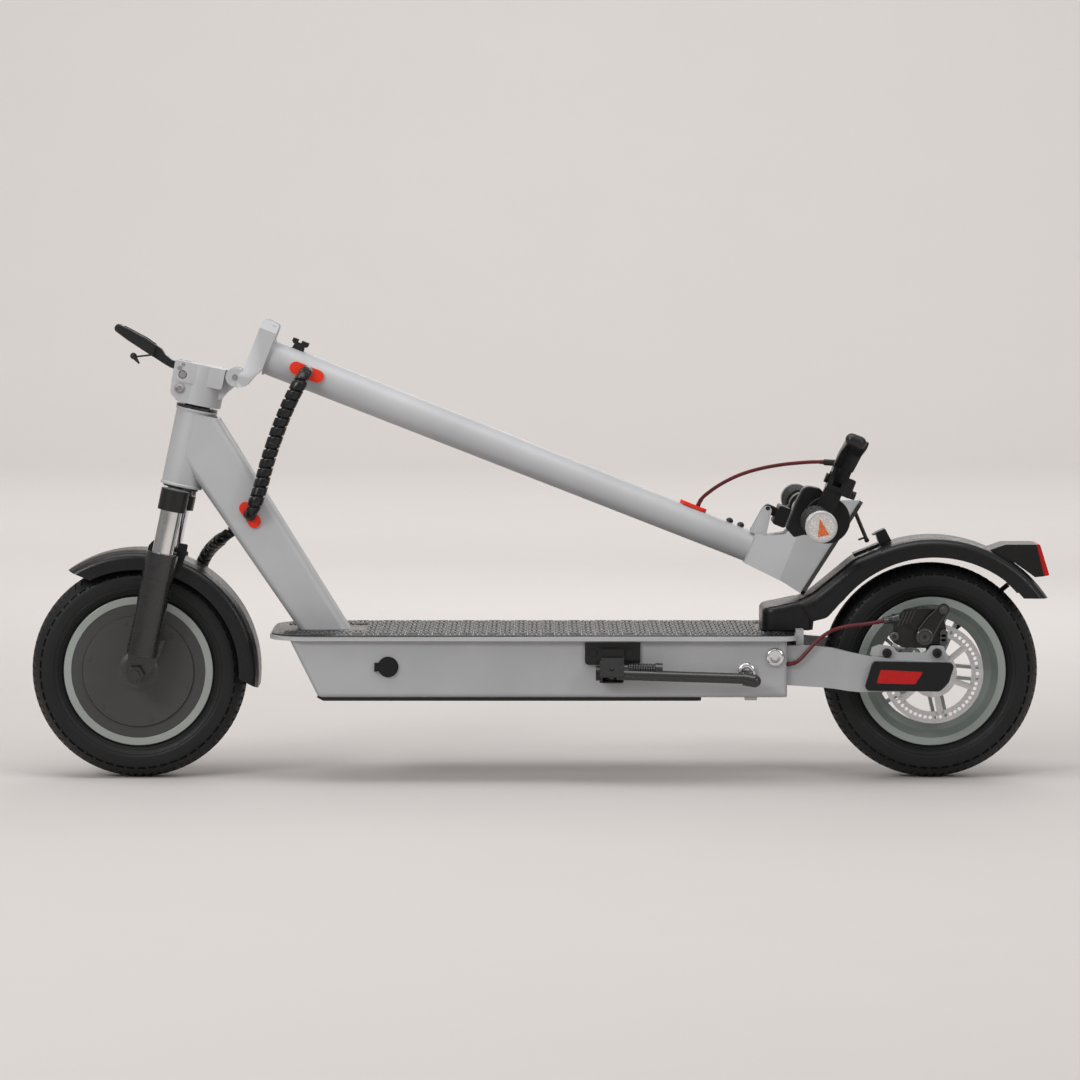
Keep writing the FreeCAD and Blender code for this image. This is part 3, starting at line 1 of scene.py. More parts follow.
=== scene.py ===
"""Looks of a folding electric kick scooter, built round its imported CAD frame. Metres; +X rear, -Y rider's left."""
import json
import math

import bmesh
import bpy
from mathutils import Matrix, Vector

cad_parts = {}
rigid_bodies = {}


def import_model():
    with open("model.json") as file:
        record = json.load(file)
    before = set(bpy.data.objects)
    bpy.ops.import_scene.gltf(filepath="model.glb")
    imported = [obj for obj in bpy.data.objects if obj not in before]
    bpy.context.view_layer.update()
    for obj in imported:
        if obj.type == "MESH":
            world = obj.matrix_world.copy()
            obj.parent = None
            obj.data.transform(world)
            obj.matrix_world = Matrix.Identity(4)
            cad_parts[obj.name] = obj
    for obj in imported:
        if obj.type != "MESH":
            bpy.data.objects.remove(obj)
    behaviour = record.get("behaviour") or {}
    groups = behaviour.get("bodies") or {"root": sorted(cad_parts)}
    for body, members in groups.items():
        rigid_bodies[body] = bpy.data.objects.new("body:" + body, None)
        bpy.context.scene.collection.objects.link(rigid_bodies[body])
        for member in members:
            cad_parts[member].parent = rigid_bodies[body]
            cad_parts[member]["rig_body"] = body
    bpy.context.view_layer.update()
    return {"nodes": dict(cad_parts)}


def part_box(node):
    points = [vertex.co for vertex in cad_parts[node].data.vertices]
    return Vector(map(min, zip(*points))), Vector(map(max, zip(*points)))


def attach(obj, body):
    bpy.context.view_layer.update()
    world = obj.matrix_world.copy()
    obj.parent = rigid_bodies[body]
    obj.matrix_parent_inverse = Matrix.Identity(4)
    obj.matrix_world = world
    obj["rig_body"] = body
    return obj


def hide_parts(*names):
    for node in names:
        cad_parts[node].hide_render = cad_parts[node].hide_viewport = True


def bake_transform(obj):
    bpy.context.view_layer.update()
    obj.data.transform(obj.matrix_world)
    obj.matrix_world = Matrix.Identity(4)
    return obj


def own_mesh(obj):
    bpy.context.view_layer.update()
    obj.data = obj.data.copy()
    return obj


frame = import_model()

NODES = frame["nodes"]
FRONT_AXLE = Vector((-0.473, 0.0, 0.127))
REAR_AXLE = Vector((0.462, 0.0, 0.127))


# ---- camera ----------------------------------------------------------------------------------
def make_camera():
    elevation = math.radians(4.2)
    target = Vector((0.0007, 0.0, 0.2803))
    distance = 5.2
    data = bpy.data.cameras.new("camera")
    data.sensor_width = 36.0
    data.lens = 146.6
    data.clip_end = 60.0
    camera = bpy.data.objects.new("camera", data)
    bpy.context.collection.objects.link(camera)
    back = Vector((0.0, -math.cos(elevation), math.sin(elevation)))
    camera.location = target + back * distance
    camera.rotation_mode = "QUATERNION"
    camera.rotation_quaternion = (-back).to_track_quat("-Z", "Y")
    bpy.context.scene.camera = camera


make_camera()


# ---- material tools --------------------------------------------------------------------------
class Shader:
    """A principled material with helpers for noise, patterns, masks and bump."""

    def __init__(self, name):
        self.mat = bpy.data.materials.new(name)
        self.mat.use_nodes = True
        self.tree = self.mat.node_tree
        self.bsdf = next(n for n in self.tree.nodes if n.type == "BSDF_PRINCIPLED")
        self.coords = self.tree.nodes.new("ShaderNodeTexCoord").outputs["Object"]
        self.normal = None

    def put(self, name, value):
        self.bsdf.inputs[name].default_value = value
        return self

    def node(self, kind, **facts):
        made = self.tree.nodes.new(kind)
        for key, value in facts.items():
            setattr(made, key, value)
        return made

    def link(self, out, into):
        self.tree.links.new(out, into)

    def place(self, centre, turn=(0, 0, 0)):
        """Object coordinates about a centre, turned."""
        shift = self.node("ShaderNodeVectorMath", operation="SUBTRACT")
        self.link(self.coords, shift.inputs[0])
        shift.inputs[1].default_value = centre
        mapping = self.node("ShaderNodeMapping")
        self.link(shift.outputs[0], mapping.inputs["Vector"])
        mapping.inputs["Rotation"].default_value = turn
        return mapping.outputs[0]

    def noise(self, scale, detail=3.0, rough=0.5):
        made = self.node("ShaderNodeTexNoise")
        made.inputs["Scale"].default_value = scale
        made.inputs["Detail"].default_value = detail
        made.inputs["Roughness"].default_value = rough
        self.link(self.coords, made.inputs["Vector"])
        return made.outputs["Fac"]

    def cells(self, scale):
        made = self.node("ShaderNodeTexVoronoi", feature="F1")
        made.inputs["Scale"].default_value = scale
        self.link(self.coords, made.inputs["Vector"])
        return made.outputs["Distance"]

    def spread(self, value, low, high, out_low, out_high):
        """Maps low..high to out_low..out_high, clamped."""
        made = self.node("ShaderNodeMapRange")
        self.link(value, made.inputs["Value"])
        for key, number in (("From Min", low), ("From Max", high), ("To Min", out_low), ("To Max", out_high)):
            made.inputs[key].default_value = number
        return made.outputs["Result"]

    def math(self, operation, a, b=None):
        made = self.node("ShaderNodeMath", operation=operation)
        for socket, value in zip(made.inputs, (a, b)):
            if value is None:
                continue
            if isinstance(value, (int, float)):
                socket.default_value = value
            else:
                self.link(value, socket)
        return made.outputs[0]

    def mix(self, mask, a, b):
        made = self.node("ShaderNodeMix", data_type="RGBA")
        self.link(mask, made.inputs["Factor"])
        for socket, value in ((made.inputs[6], a), (made.inputs[7], b)):
            if isinstance(value, tuple):
                socket.default_value = (*value, 1.0)
            else:
                self.link(value, socket)
        return made.outputs[2]

    def colour(self, value):
        if isinstance(value, tuple):
            self.bsdf.inputs["Base Color"].default_value = (*value, 1.0)
        else:
            self.link(value, self.bsdf.inputs["Base Color"])
        return self

    def rough(self, value):
        self.link(value, self.bsdf.inputs["Roughness"])
        return self

    def bump(self, height, strength, distance):
        made = self.node("ShaderNodeBump")
        made.inputs["Strength"].default_value = strength
        made.inputs["Distance"].default_value = distance
        self.link(height, made.inputs["Height"])
        if self.normal is not None:
            self.link(self.normal, made.inputs["Normal"])
        self.normal = made.outputs["Normal"]
        self.link(self.normal, self.bsdf.inputs["Normal"])
        return self


def shade(colour, factor):
    return tuple(min(1.0, c * factor) for c in colour)


def painted(name, colour, rough, metallic=0.0, coat=0.0, orange_peel=0.12, vary=0.08, gloss=0.5):
    """Powder coat or spray paint: a fine orange peel, faint mottling and slightly uneven gloss."""
    s = Shader(name)
    broad = s.noise(9.0, 3.0)
    fine = s.noise(1900.0, 2.0)
    s.colour(s.mix(s.spread(broad, 0.3, 0.7, 0.0, 1.0), shade(colour, 1 - vary), shade(colour, 1 + vary)))
    s.rough(s.spread(s.noise(140.0, 4.0), 0.25, 0.75, rough - 0.05, rough + 0.07))
    s.put("Metallic", metallic).put("Coat Weight", coat).put("Coat Roughness", 0.18)
    s.put("Specular IOR Level", gloss)
    s.bump(s.noise(620.0, 2.0), orange_peel, 0.0004)
    s.bump(fine, orange_peel * 0.5, 0.0002)
    return s


def plastic(name, colour, rough, grain, scale=1500.0, vary=0.12, gloss=0.38):
    """Moulded plastic with a spark-eroded grain."""
    s = Shader(name)
    broad = s.noise(24.0, 4.0)
    s.colour(s.mix(s.spread(broad, 0.3, 0.7, 0.0, 1.0), shade(colour, 1 - vary), shade(colour, 1 + vary)))
    s.rough(s.spread(s.noise(200.0, 3.0), 0.3, 0.7, rough - 0.06, rough + 0.08))
    s.put("Specular IOR Level", gloss)
    s.bump(s.cells(scale), grain, 0.00025)
    s.bump(s.noise(scale * 0.5, 3.0), grain * 0.7, 0.0002)
    return s


def rubbery(name, colour, rough, dust, gloss):
    """Vulcanised rubber: matt, a little dusty in broad patches, with pores."""
    s = Shader(name)
    patches = s.spread(s.noise(16.0, 6.0, 0.6), 0.42, 0.78, 0.0, dust)
    s.colour(s.mix(patches, colour, shade(colour, 2.4)))
    s.rough(s.spread(s.noise(260.0, 4.0), 0.3, 0.7, rough - 0.08, rough + 0.1))
    s.put("Specular IOR Level", gloss)
    s.bump(s.noise(1100.0, 5.0, 0.65), 0.3, 0.0003)
    s.bump(s.cells(420.0), 0.1, 0.0003)
    return s


def turned_metal(name, colour, centre, rough, strength=0.25):
    """Metal turned on a lathe about Y: fine rings round the centre."""
    s = Shader(name)
    flat = s.place(tuple(centre))
    xz = s.node("ShaderNodeVectorMath", operation="MULTIPLY")
    s.link(flat, xz.inputs[0])
    xz.inputs[1].default_value = (1, 0, 1)
    length = s.node("ShaderNodeVectorMath", operation="LENGTH")
    s.link(xz.outputs[0], length.inputs[0])
    rings = s.node("ShaderNodeTexNoise", noise_dimensions="1D")
    rings.inputs["Scale"].default_value = 2600.0
    rings.inputs["Detail"].default_value = 4.0
    s.link(length.outputs["Value"], rings.inputs["W"])
    s.colour(s.mix(s.spread(rings.outputs["Fac"], 0.3, 0.7, 0.0, 1.0), shade(colour, 0.86), shade(colour, 1.1)))
    s.rough(s.spread(s.noise(60.0, 4.0), 0.3, 0.7, rough - 0.05, rough + 0.12))
    s.put("Metallic", 1.0)
    s.bump(rings.outputs["Fac"], strength, 0.0001)
    return s


def polished(name, colour, rough):
    """Chrome or bright zinc, with faint wipe marks."""
    s = Shader(name)
    s.colour(s.mix(s.spread(s.noise(35.0, 5.0), 0.35, 0.75, 0.0, 1.0), colour, shade(colour, 0.88)))
    s.rough(s.spread(s.noise(180.0, 5.0, 0.6), 0.35, 0.8, rough, rough + 0.12))
    s.put("Metallic", 1.0)
    s.bump(s.noise(900.0, 3.0), 0.04, 0.0002)
    return s


def lens(name, colour, scale, painted_glow):
    """Coloured clear plastic with moulded prisms underneath, each prism coloured lighter in its middle and darker at
    its edges as a painted glint, and a faint painted glow.
    """
    s = Shader(name)
    prisms_and_painted_glints = s.cells(scale)
    # painted glints: each prism lighter in its middle and darker at its edges
    s.colour(s.mix(s.spread(prisms_and_painted_glints, 0.0, 0.6, 0.0, 1.0), shade(colour, 1.1), shade(colour, 0.75)))
    s.rough(s.spread(s.noise(150.0), 0.3, 0.7, 0.16, 0.26))
    s.put("Coat Weight", 0.25).put("Coat Roughness", 0.06)
    s.put("Specular IOR Level", 0.25)
    s.bump(prisms_and_painted_glints, 0.12, 0.0004)
    # a faint glow in the lens colour: painted light
    s.put("Emission Color", (*colour, 1.0)).put("Emission Strength", painted_glow)
    return s


SILVER = (0.44, 0.447, 0.46)


def finish_table():
    """CAD node to finish."""
    silver = painted("silver_paint", SILVER, rough=0.50, metallic=0.12, coat=0.08)
    # the same silver paint made darker for the deck hull and the rear fork: painted shade
    shaded_silver = painted("silver_paint_shaded_copy", shade(SILVER, 0.90), rough=0.46, metallic=0.18, coat=0.08)
    black = painted("black_paint", (0.009, 0.009, 0.0095), rough=0.33, coat=0.1, orange_peel=0.2, vary=0.2, gloss=0.4)
    satin_black = painted("satin_black_metal", (0.014, 0.014, 0.0145), rough=0.25, coat=0.4, orange_peel=0.04,
                          vary=0.2, gloss=0.5)
    cast_black = painted("cast_black_metal", (0.006, 0.006, 0.0063), rough=0.30, coat=0.15, orange_peel=0.35,
                         vary=0.2, gloss=0.35)
    moulded = plastic("moulded_black", (0.006, 0.006, 0.0064), rough=0.38, grain=0.2, gloss=0.3)
    fender = plastic("fender_black", (0.006, 0.006, 0.0064), rough=0.32, grain=0.12, scale=1100.0, vary=0.2,
                     gloss=0.34)
    coarse = plastic("grained_black", (0.008, 0.008, 0.0085), rough=0.55, grain=0.4, scale=900.0)
    rubber = rubbery("black_rubber", (0.007, 0.007, 0.0074), rough=0.6, dust=0.35, gloss=0.25)
    orange = rubbery("orange_rubber", (0.74, 0.030, 0.008), rough=0.42, dust=0.05, gloss=0.3)
    sheath = plastic("cable_sheath", (0.10, 0.008, 0.012), rough=0.34, grain=0.1, scale=1800.0)
    chrome = polished("chrome", (0.80, 0.80, 0.81), rough=0.09)
    zinc = polished("zinc_screws", (0.70, 0.70, 0.72), rough=0.14)
    steel = turned_metal("turned_steel", (0.52, 0.52, 0.53), REAR_AXLE, rough=0.24)
    disc = turned_metal("disc_steel", (0.60, 0.60, 0.61), REAR_AXLE, rough=0.2, strength=0.4)
    rim = painted("rim_paint", (0.30, 0.335, 0.315), rough=0.34, metallic=0.25, coat=0.2)
    front_rim = painted("front_rim_paint", (0.31, 0.335, 0.315), rough=0.34, metallic=0.25, coat=0.2)
    hub = painted("hub_paint", (0.045, 0.046, 0.0435), rough=0.36, coat=0.1, orange_peel=0.3, vary=0.12, gloss=0.45)
    wrap = plastic("battery_wrap", (0.02, 0.06, 0.22), rough=0.3, grain=0.1, scale=300.0)
    alloy = turned_metal("cast_alloy", (0.5, 0.5, 0.51), FRONT_AXLE, rough=0.42)
    glossy = plastic("gloss_black", (0.005, 0.005, 0.0055), rough=0.08, grain=0.03, scale=900.0, vary=0.05, gloss=0.5)
    glossy.put("Coat Weight", 1.0).put("Coat Roughness", 0.03)
    red = lens("red_lens", (0.46, 0.003, 0.002), scale=900.0, painted_glow=0.12)
    horn = plastic("red_button", (0.55, 0.03, 0.02), rough=0.35, grain=0.1)
    gray = plastic("gray_button", (0.25, 0.25, 0.26), rough=0.4, grain=0.1)
    return {
        "deck_hull": shaded_silver, "bottom_cover": coarse, "deck_rim": silver, "down_tube": silver,
        "head_tube": silver, "headset_bearings": satin_black, "battery_pack": wrap, "controller": alloy,
        "charge_port": moulded, "charge_cap": rubber, "rear_fork": shaded_silver, "fork_bolts": chrome,
        "rear_fender": fender, "fender_fittings": moulded, "red_lenses": red, "arm_end_covers": moulded,
        "caliper_body": cast_black, "caliper_arm": cast_black, "rear_brake_cable": sheath,
        "kickstand_bracket": cast_black, "kickstand_leg": satin_black, "rear_axle": steel,
        "frame_grommet": orange, "fold_base": silver, "fold_hardware": zinc, "fork_crown": black,
        "stanchions": chrome, "fork_springs": steel, "fork_legs": satin_black, "front_fender": fender,
        "front_axle": satin_black, "motor_stator": alloy, "front_rim": front_rim, "motor_covers": hub,
        "rear_rim": rim, "brake_disc": disc, "stem_tube": silver, "stem_head": silver,
        "display_panel": glossy, "power_button": glossy, "handlebar": black, "grips": rubber,
        "control_pods": moulded, "turn_switch": gray, "horn_button": horn, "throttle_paddle": moulded,
        "brake_perch": cast_black, "brake_lever": black, "headlight": moulded, "stem_hooks": black,
        "stem_grommets": orange, "front_brake_cable": sheath, "latch_lever": black,
        "front_tyre": rubber, "rear_tyre": rubber, "deck_mat": rubber, "stem_harness": coarse,
        "hub_harness": coarse,
    }


FINISHES = finish_table()


# ---- mesh tools ------------------------------------------------------------------------------
def mesh_object(name, verts, faces, shader, body, smooth=True):
    data = bpy.data.meshes.new(name)
    data.from_pydata([tuple(v) for v in verts], [], faces)
    data.validate()
    data.update()
    if smooth:
        data.polygons.foreach_set("use_smooth", [True] * len(data.polygons))
    obj = bpy.data.objects.new(name, data)
    bpy.context.collection.objects.link(obj)
    data.materials.append(shader.mat)
    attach(obj, body)
    return obj


def outward(obj):
    """Makes every face of a closed mesh look outwards."""
    made = bmesh.new()
    made.from_mesh(obj.data)
    bmesh.ops.recalc_face_normals(made, faces=made.faces)
    made.to_mesh(obj.data)
    made.free()


def lathe_y(name, loop, centre, steps, shader, body, depth=None):
    """Turns a closed (radius, y) loop about an axle along Y.

    depth(angle, radius, y) says how far a point sinks radially and along Y.
    """
    verts, faces = [], []
    count = len(loop)
    for i in range(steps):
        angle = 2 * math.pi * i / steps
        c, s = math.cos(angle), math.sin(angle)
        for radius, y in loop:
            down, aside = depth(angle, radius, y) if depth else (0.0, 0.0)
            r = radius - down
            verts.append((centre[0] + r * c, centre[1] + y - math.copysign(aside, y), centre[2] + r * s))
    for i in range(steps):
        j = (i + 1) % steps
        for k in range(count):
            m = (k + 1) % count
            faces.append((i * count + k, j * count + k, j * count + m, i * count + m))
    obj = mesh_object(name, verts, faces, shader, body)
    outward(obj)
    return obj


def by_angle(obj, degrees):
    """Smooth shading that keeps real edges crisp."""
    data = obj.data
    data.polygons.foreach_set("use_smooth", [True] * len(data.polygons))
    made = bmesh.new()
    made.from_mesh(data)
    limit = math.radians(degrees)
    for edge in made.edges:
        edge.smooth = len(edge.link_faces) == 2 and edge.calc_face_angle(0.0) < limit
    made.to_mesh(data)
    made.free()


WELD_WITHIN = 0.000002
EDGE_SEGMENTS = 2
EDGE_ANGLE = 35


def bevelled(obj, width):
    """A small real edge radius, so edges catch the light."""
    weld = obj.modifiers.new("weld", "WELD")
    weld.merge_threshold = WELD_WITHIN
    bevel = obj.modifiers.new("edge", "BEVEL")
    bevel.width = width
    bevel.segments = EDGE_SEGMENTS
    bevel.limit_method = "ANGLE"
    bevel.angle_limit = math.radians(EDGE_ANGLE)
    bevel.use_clamp_overlap = True
    bevel.harden_normals = False
    bevel.miter_outer = "MITER_ARC"


# ---- tyres -----------------------------------------------------------------------------------
TYRE_RADIUS = 127.0      # mm, like the other sizes of the section
TREAD_HALF_WIDTH = 28.6
CROWN_DROP = 10.7
TREAD_ROWS = 32
TYRE_STEPS = 840

# the tread pattern: counts round the tyre, places across it in mm, depths in metres
SHOULDER_DASHES = 56
ZIGZAGS = 42
SLOTS = 84
ZIGZAG_AT, ZIGZAG_SWING, ZIGZAG_HALF_WIDTH = 9.0, 1.6, 1.2
DASH_SINKS = (0.0007, 0.0018)
GROOVE_DEPTH = 0.0018
SLOT_DEPTH = 0.0015


def tyre_loop():
    """Closed section of one tyre, metres: bead, side wall, tread, and the inner wall back."""
    half = [(84.0, 21.8), (86.4, 21.9), (88.8, 22.0), (89.6, 23.4), (91.0, 25.2), (92.6, 26.9), (93.2, 26.9),
            (93.8, 27.9), (96.0, 29.3), (98.4, 30.2), (99.0, 29.9), (99.6, 30.5), (102.0, 30.9), (105.0, 31.0),
            (108.0, 31.0), (110.6, 30.9), (112.6, 30.5), (113.2, 30.3), (113.5, 30.2), (115.5, 29.15), (115.8, 28.95)]
    tread = [(116.3, 28.6)]
    for i in range(1, TREAD_ROWS + 1):
        t = i / TREAD_ROWS
        y = TREAD_HALF_WIDTH * (1 - t)
        # a crown that is round over the shoulder and nearly flat in the middle
        across = y / TREAD_HALF_WIDTH
        r = TYRE_RADIUS - CROWN_DROP * across ** 2.6
        tread.append((r, y))
    inner = [(119.5, 0.0), (119.0, 9.0), (116.0, 19.5), (108.0, 25.8), (97.0, 24.0), (90.0, 16.4), (84.0, 16.0)]
    outer = half + tread
    mirror = [(r, -y) for r, y in reversed(outer[:-1])]
    back = [(r, -y) for r, y in reversed(inner)] + inner[1:]
    return [(r / 1000, y / 1000) for r, y in outer + mirror + back]


def tread_depth(angle, radius, y):
    """Slots across the tread, two zigzag grooves round it and a ring of dashes on each shoulder."""
    across = abs(y) * 1000
    turn = angle / (2 * math.pi)
    if 0.1134 < radius < 0.1156 and across > 28.9:
        return DASH_SINKS if (turn * SHOULDER_DASHES) % 1.0 < 0.66 else (0.0, 0.0)
    if radius < 0.1162 or across > 28.0 or (radius < 0.1197 and across < 20):
        return 0.0, 0.0
    side = 1 if y >= 0 else -1
    zigzag = abs((turn * ZIGZAGS) % 1.0 - 0.5) * 2 - 0.5
    deep = 0.0
    if abs(across - (ZIGZAG_AT + ZIGZAG_SWING * zigzag * side)) < ZIGZAG_HALF_WIDTH:
        deep = GROOVE_DEPTH
    slot = (turn * SLOTS + 0.02 * y * 1000 + 0.001) % 1.0
    if slot < 0.3 and (across < 6.5 or 11.5 < across < 23.0):
        deep = max(deep, SLOT_DEPTH)
    return deep, 0.0


TYRE = rubbery("tyre_rubber", (0.0075, 0.0075, 0.0078), rough=0.5, dust=0.3, gloss=0.3)
for node, centre, body in (("front_tyre", FRONT_AXLE, "front_wheel"), ("rear_tyre", REAR_AXLE, "rear_wheel")):
    made = lathe_y(node + "_treaded", tyre_loop(), centre, TYRE_STEPS, TYRE, body, tread_depth)
    by_angle(made, 38)
    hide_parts(node)


# ---- wrapped harnesses and cables ------------------------------------------------------------
STEM_HARNESS = [(-274.2, -27.0, 479.6), (-275.5, -36.0, 477.0), (-280.0, -42.0, 468.0), (-290.0, -41.0, 450.0),
                (-301.5, -38.5, 424.5), (-311.5, -37.5, 397.5), (-320.5, -37.5, 370.0), (-327.0, -39.0, 344.0),
                (-334.0, -41.5, 324.0), (-339.0, -37.0, 314.0), (-340.4, -27.5, 311.7)]
HUB_HARNESS = [(-362.7, 8.0, 291.1), (-371.0, 8.0, 285.43), (-383.0, 33.0, 275.5), (-395.0, 56.0, 264.0),
               (-405.0, 69.0, 247.0), (-411.0, 76.0, 222.0), (-418.0, 80.0, 198.0), (-430.0, 84.0, 181.5),
               (-445.0, 87.5, 168.5), (-457.4, 88.0, 150.15), (-465.2, 88.0, 138.6)]
FRONT_CABLE = [(187.3, 0.0, 320.9), (190.4, 0.0, 328.6), (199.0, -9.0, 337.0), (213.0, -20.0, 347.8),
               (234.0, -37.0, 359.8), (257.0, -56.0, 368.2), (282.0, -77.0, 374.2), (303.0, -96.0, 377.3),
               (319.9, -111.2, 379.3), (329.44, -123.92, 379.4)]
REAR_CABLE = [(289.0, -79.5, 141.0), (298.0, -79.5, 141.0), (308.0, -79.5, 150.0), (322.0, -79.5, 167.0),
              (340.0, -77.0, 180.5), (362.0, -71.5, 185.5), (384.0, -66.32, 186.6), (403.9, -64.51, 190.58)]


def metres(points):
    return [Vector(p) / 1000 for p in points]


ROUTE_RESOLUTION = 24


def route(points):
    """The smooth line of a NURBS route, as points."""
    curve = bpy.data.curves.new("route", "CURVE")
    curve.dimensions = "3D"
    spline = curve.splines.new("NURBS")
    spline.points.add(len(points) - 1)
    for spot, point in zip(spline.points, points):
        spot.co = (*point, 1.0)
    spline.order_u = 3
    spline.use_endpoint_u = True
    spline.resolution_u = ROUTE_RESOLUTION
    obj = bpy.data.objects.new("route", curve)
    bpy.context.collection.objects.link(obj)
    bpy.context.view_layer.update()
    line = bpy.data.meshes.new_from_object(obj)
    made = [v.co.copy() for v in line.vertices]
    bpy.data.objects.remove(obj)
    bpy.data.curves.remove(curve)
    bpy.data.meshes.remove(line)
    return made


def even(line, step):
    """The same line in equal steps, with its running length."""
    lengths = [0.0]
    for a, b in zip(line, line[1:]):
        lengths.append(lengths[-1] + (b - a).length)
    total = lengths[-1]
    count = max(2, round(total / step))
    made, k = [], 0
    for i in range(count + 1):
        at = total * i / count
        while k < len(lengths) - 2 and lengths[k + 1] < at:
            k += 1
        span = lengths[k + 1] - lengths[k]
        share = (at - lengths[k]) / span if span > 0 else 0.0
        made.append((line[k].lerp(line[k + 1], min(1.0, max(0.0, share))), at))
    return made


def tube_along(name, stations, radius, shader, body, around):
    """A closed tube. radius(length, angle) gives its surface."""
    verts, faces = [], []
    normal = None
    for i, (spot, at) in enumerate(stations):
        ahead = stations[min(i + 1, len(stations) - 1)][0] - stations[max(i - 1, 0)][0]
        ahead.normalize()
        if normal is None:
            normal = ahead.orthogonal().normalized()
        normal = (normal - ahead * normal.dot(ahead)).normalized()
        other = ahead.cross(normal)
        for k in range(around):
            angle = 2 * math.pi * k / around
            r = radius(at, angle)
            verts.append(spot + normal * (r * math.cos(angle)) + other * (r * math.sin(angle)))
    rows = len(stations)
    for i in range(rows - 1):
        for k in range(around):
            m = (k + 1) % around
            faces.append((i * around + k, i * around + m, (i + 1) * around + m, (i + 1) * around + k))
    faces.append(tuple(reversed(range(around))))
    faces.append(tuple((rows - 1) * around + k for k in range(around)))
    obj = mesh_object(name, verts, faces, shader, body)
    outward(obj)
    return obj


WRAP_PITCH = 0.0118
WRAP_GAP = 0.10      # share of a turn
WRAP_SINK = 0.0027
WRAP_CROWN = 0.0002
WRAP_STEP = 0.0005


def spiral(outer):
    """Surface of a spiral cable wrap: a flat band that winds round, with a gap between its turns."""
    def radius(at, angle):
        share = (at / WRAP_PITCH - angle / (2 * math.pi)) % 1.0
        edge = min(share, 1.0 - share) / WRAP_GAP
        crown = WRAP_CROWN * (1 - (2 * share - 1) ** 2)
        return outer(at) - WRAP_CROWN + crown - WRAP_SINK * max(0.0, 1.0 - edge) ** 0.4
    return radius


WRAP = plastic("spiral_wrap", (0.006, 0.006, 0.0064), rough=0.26, grain=0.06, scale=1400.0, vary=0.15, gloss=0.42)
SHEATH = FINISHES["front_brake_cable"]


def swelling(steps):
    """Radius along a harness: (length, radius) steps, with smooth slopes between them."""
    def outer(at):
        for (a, ra), (b, rb) in zip(steps, steps[1:]):
            if at < b:
                t = min(1.0, max(0.0, (at - a) / (b - a)))
                return ra + (rb - ra) * t * t * (3 - 2 * t)
        return steps[-1][1]
    return outer


def harness(node, points, steps, cut, bodies_a, bodies_b, settled=1.0):
    """A wrapped harness in two pieces that meet at the share 'cut' of its length.

    The share 'settled' is not used.
    """
    stations = even(route(metres(points)), WRAP_STEP)
    middle = round(len(stations) * cut)
    surface = spiral(swelling(steps))
    upper = tube_along(node + "_upper", stations[:middle + 1], surface, WRAP, bodies_a[0], 28)
    lower = tube_along(node + "_lower", stations[middle:], surface, WRAP, bodies_b[0], 28)
    first, join, last = stations[0][0], stations[middle][0], stations[round((len(stations) - 1) * settled)][0]
    for piece, bodies, start, end in ((upper, bodies_a, first, join), (lower, bodies_b, join, last)):
        # each piece starts from the world, not from the body it was made on
        piece.parent = None
        piece.matrix_world = Matrix.Identity(4)
        if "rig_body" in piece:
            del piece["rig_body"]
        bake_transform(piece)
    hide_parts(node)
    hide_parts(node)


harness("stem_harness", STEM_HARNESS,
        ((0.0, 0.007), (0.010, 0.0072), (0.024, 0.0088), (0.168, 0.0088), (0.184, 0.0072), (0.2, 0.007)), 0.5,
        ("stem", "steer"), ("steer", "frame"))
harness("hub_harness", HUB_HARNESS,
        ((0.0, 0.0065), (0.012, 0.0066), (0.03, 0.008), (0.10, 0.0078), (0.13, 0.0065), (0.22, 0.0065)), 0.24,
        ("frame", "steer"), ("steer", "fork_lowers"), 0.38)


SHEATH_RADIUS = 0.0022
SHEATH_STEP = 0.0012
FERRULE_RADIUS = 0.0026
FERRULE_LENGTH = 0.009
CRIMP_DEPTH = 0.00035


def sheathed(node, points, body):
    """A brake cable: smooth sheath with a crimped ferrule at each end."""
    stations = even(route(metres(points)), SHEATH_STEP)
    total = stations[-1][1]

    def radius(at, angle):
        from_end = min(at, total - at)
        if from_end < FERRULE_LENGTH:
            crimp = CRIMP_DEPTH if 0.004 < from_end < 0.006 else 0.0
            return FERRULE_RADIUS - crimp
        return SHEATH_RADIUS
    obj = tube_along(node + "_sheath", stations, radius, SHEATH, body, 20)
    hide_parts(node)


sheathed("front_brake_cable", FRONT_CABLE, "stem")
sheathed("rear_brake_cable", REAR_CABLE, "frame")


def fork_coils():
    """The springs inside the legs: a copy of the CAD springs, carried by the steering body."""
    node = NODES["fork_springs"]
    data = node.data.copy()
    data.materials.clear()
    data.materials.append(FINISHES["fork_springs"].mat)
    obj = bpy.data.objects.new("fork_coils", data)
    bpy.context.collection.objects.link(obj)
    obj.matrix_world = node.matrix_world.copy()
    by_angle(obj, 40)
    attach(obj, "steer")
    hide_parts("fork_springs")
    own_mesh(obj)


fork_coils()


# ---- brake caliper details -------------------------------------------------------------------
# a lighter copy of the caliper's cast black for its ribs, bolts and adjusters, so they stand out: painted highlight
CAST_LIT_COPY = painted("cast_detail_painted_highlight", (0.035, 0.035, 0.036), rough=0.27, coat=0.4, orange_peel=0.3, vary=0.2, gloss=0.6)
# near black pins in the pivot bolt's socket and the pad adjuster's hole: painted shade where the recess would be
# shaded
SOCKET_SHADE = painted("bolt_recess_painted_shade", (0.004, 0.004, 0.004), rough=0.5)


TURNED_STEPS = 72


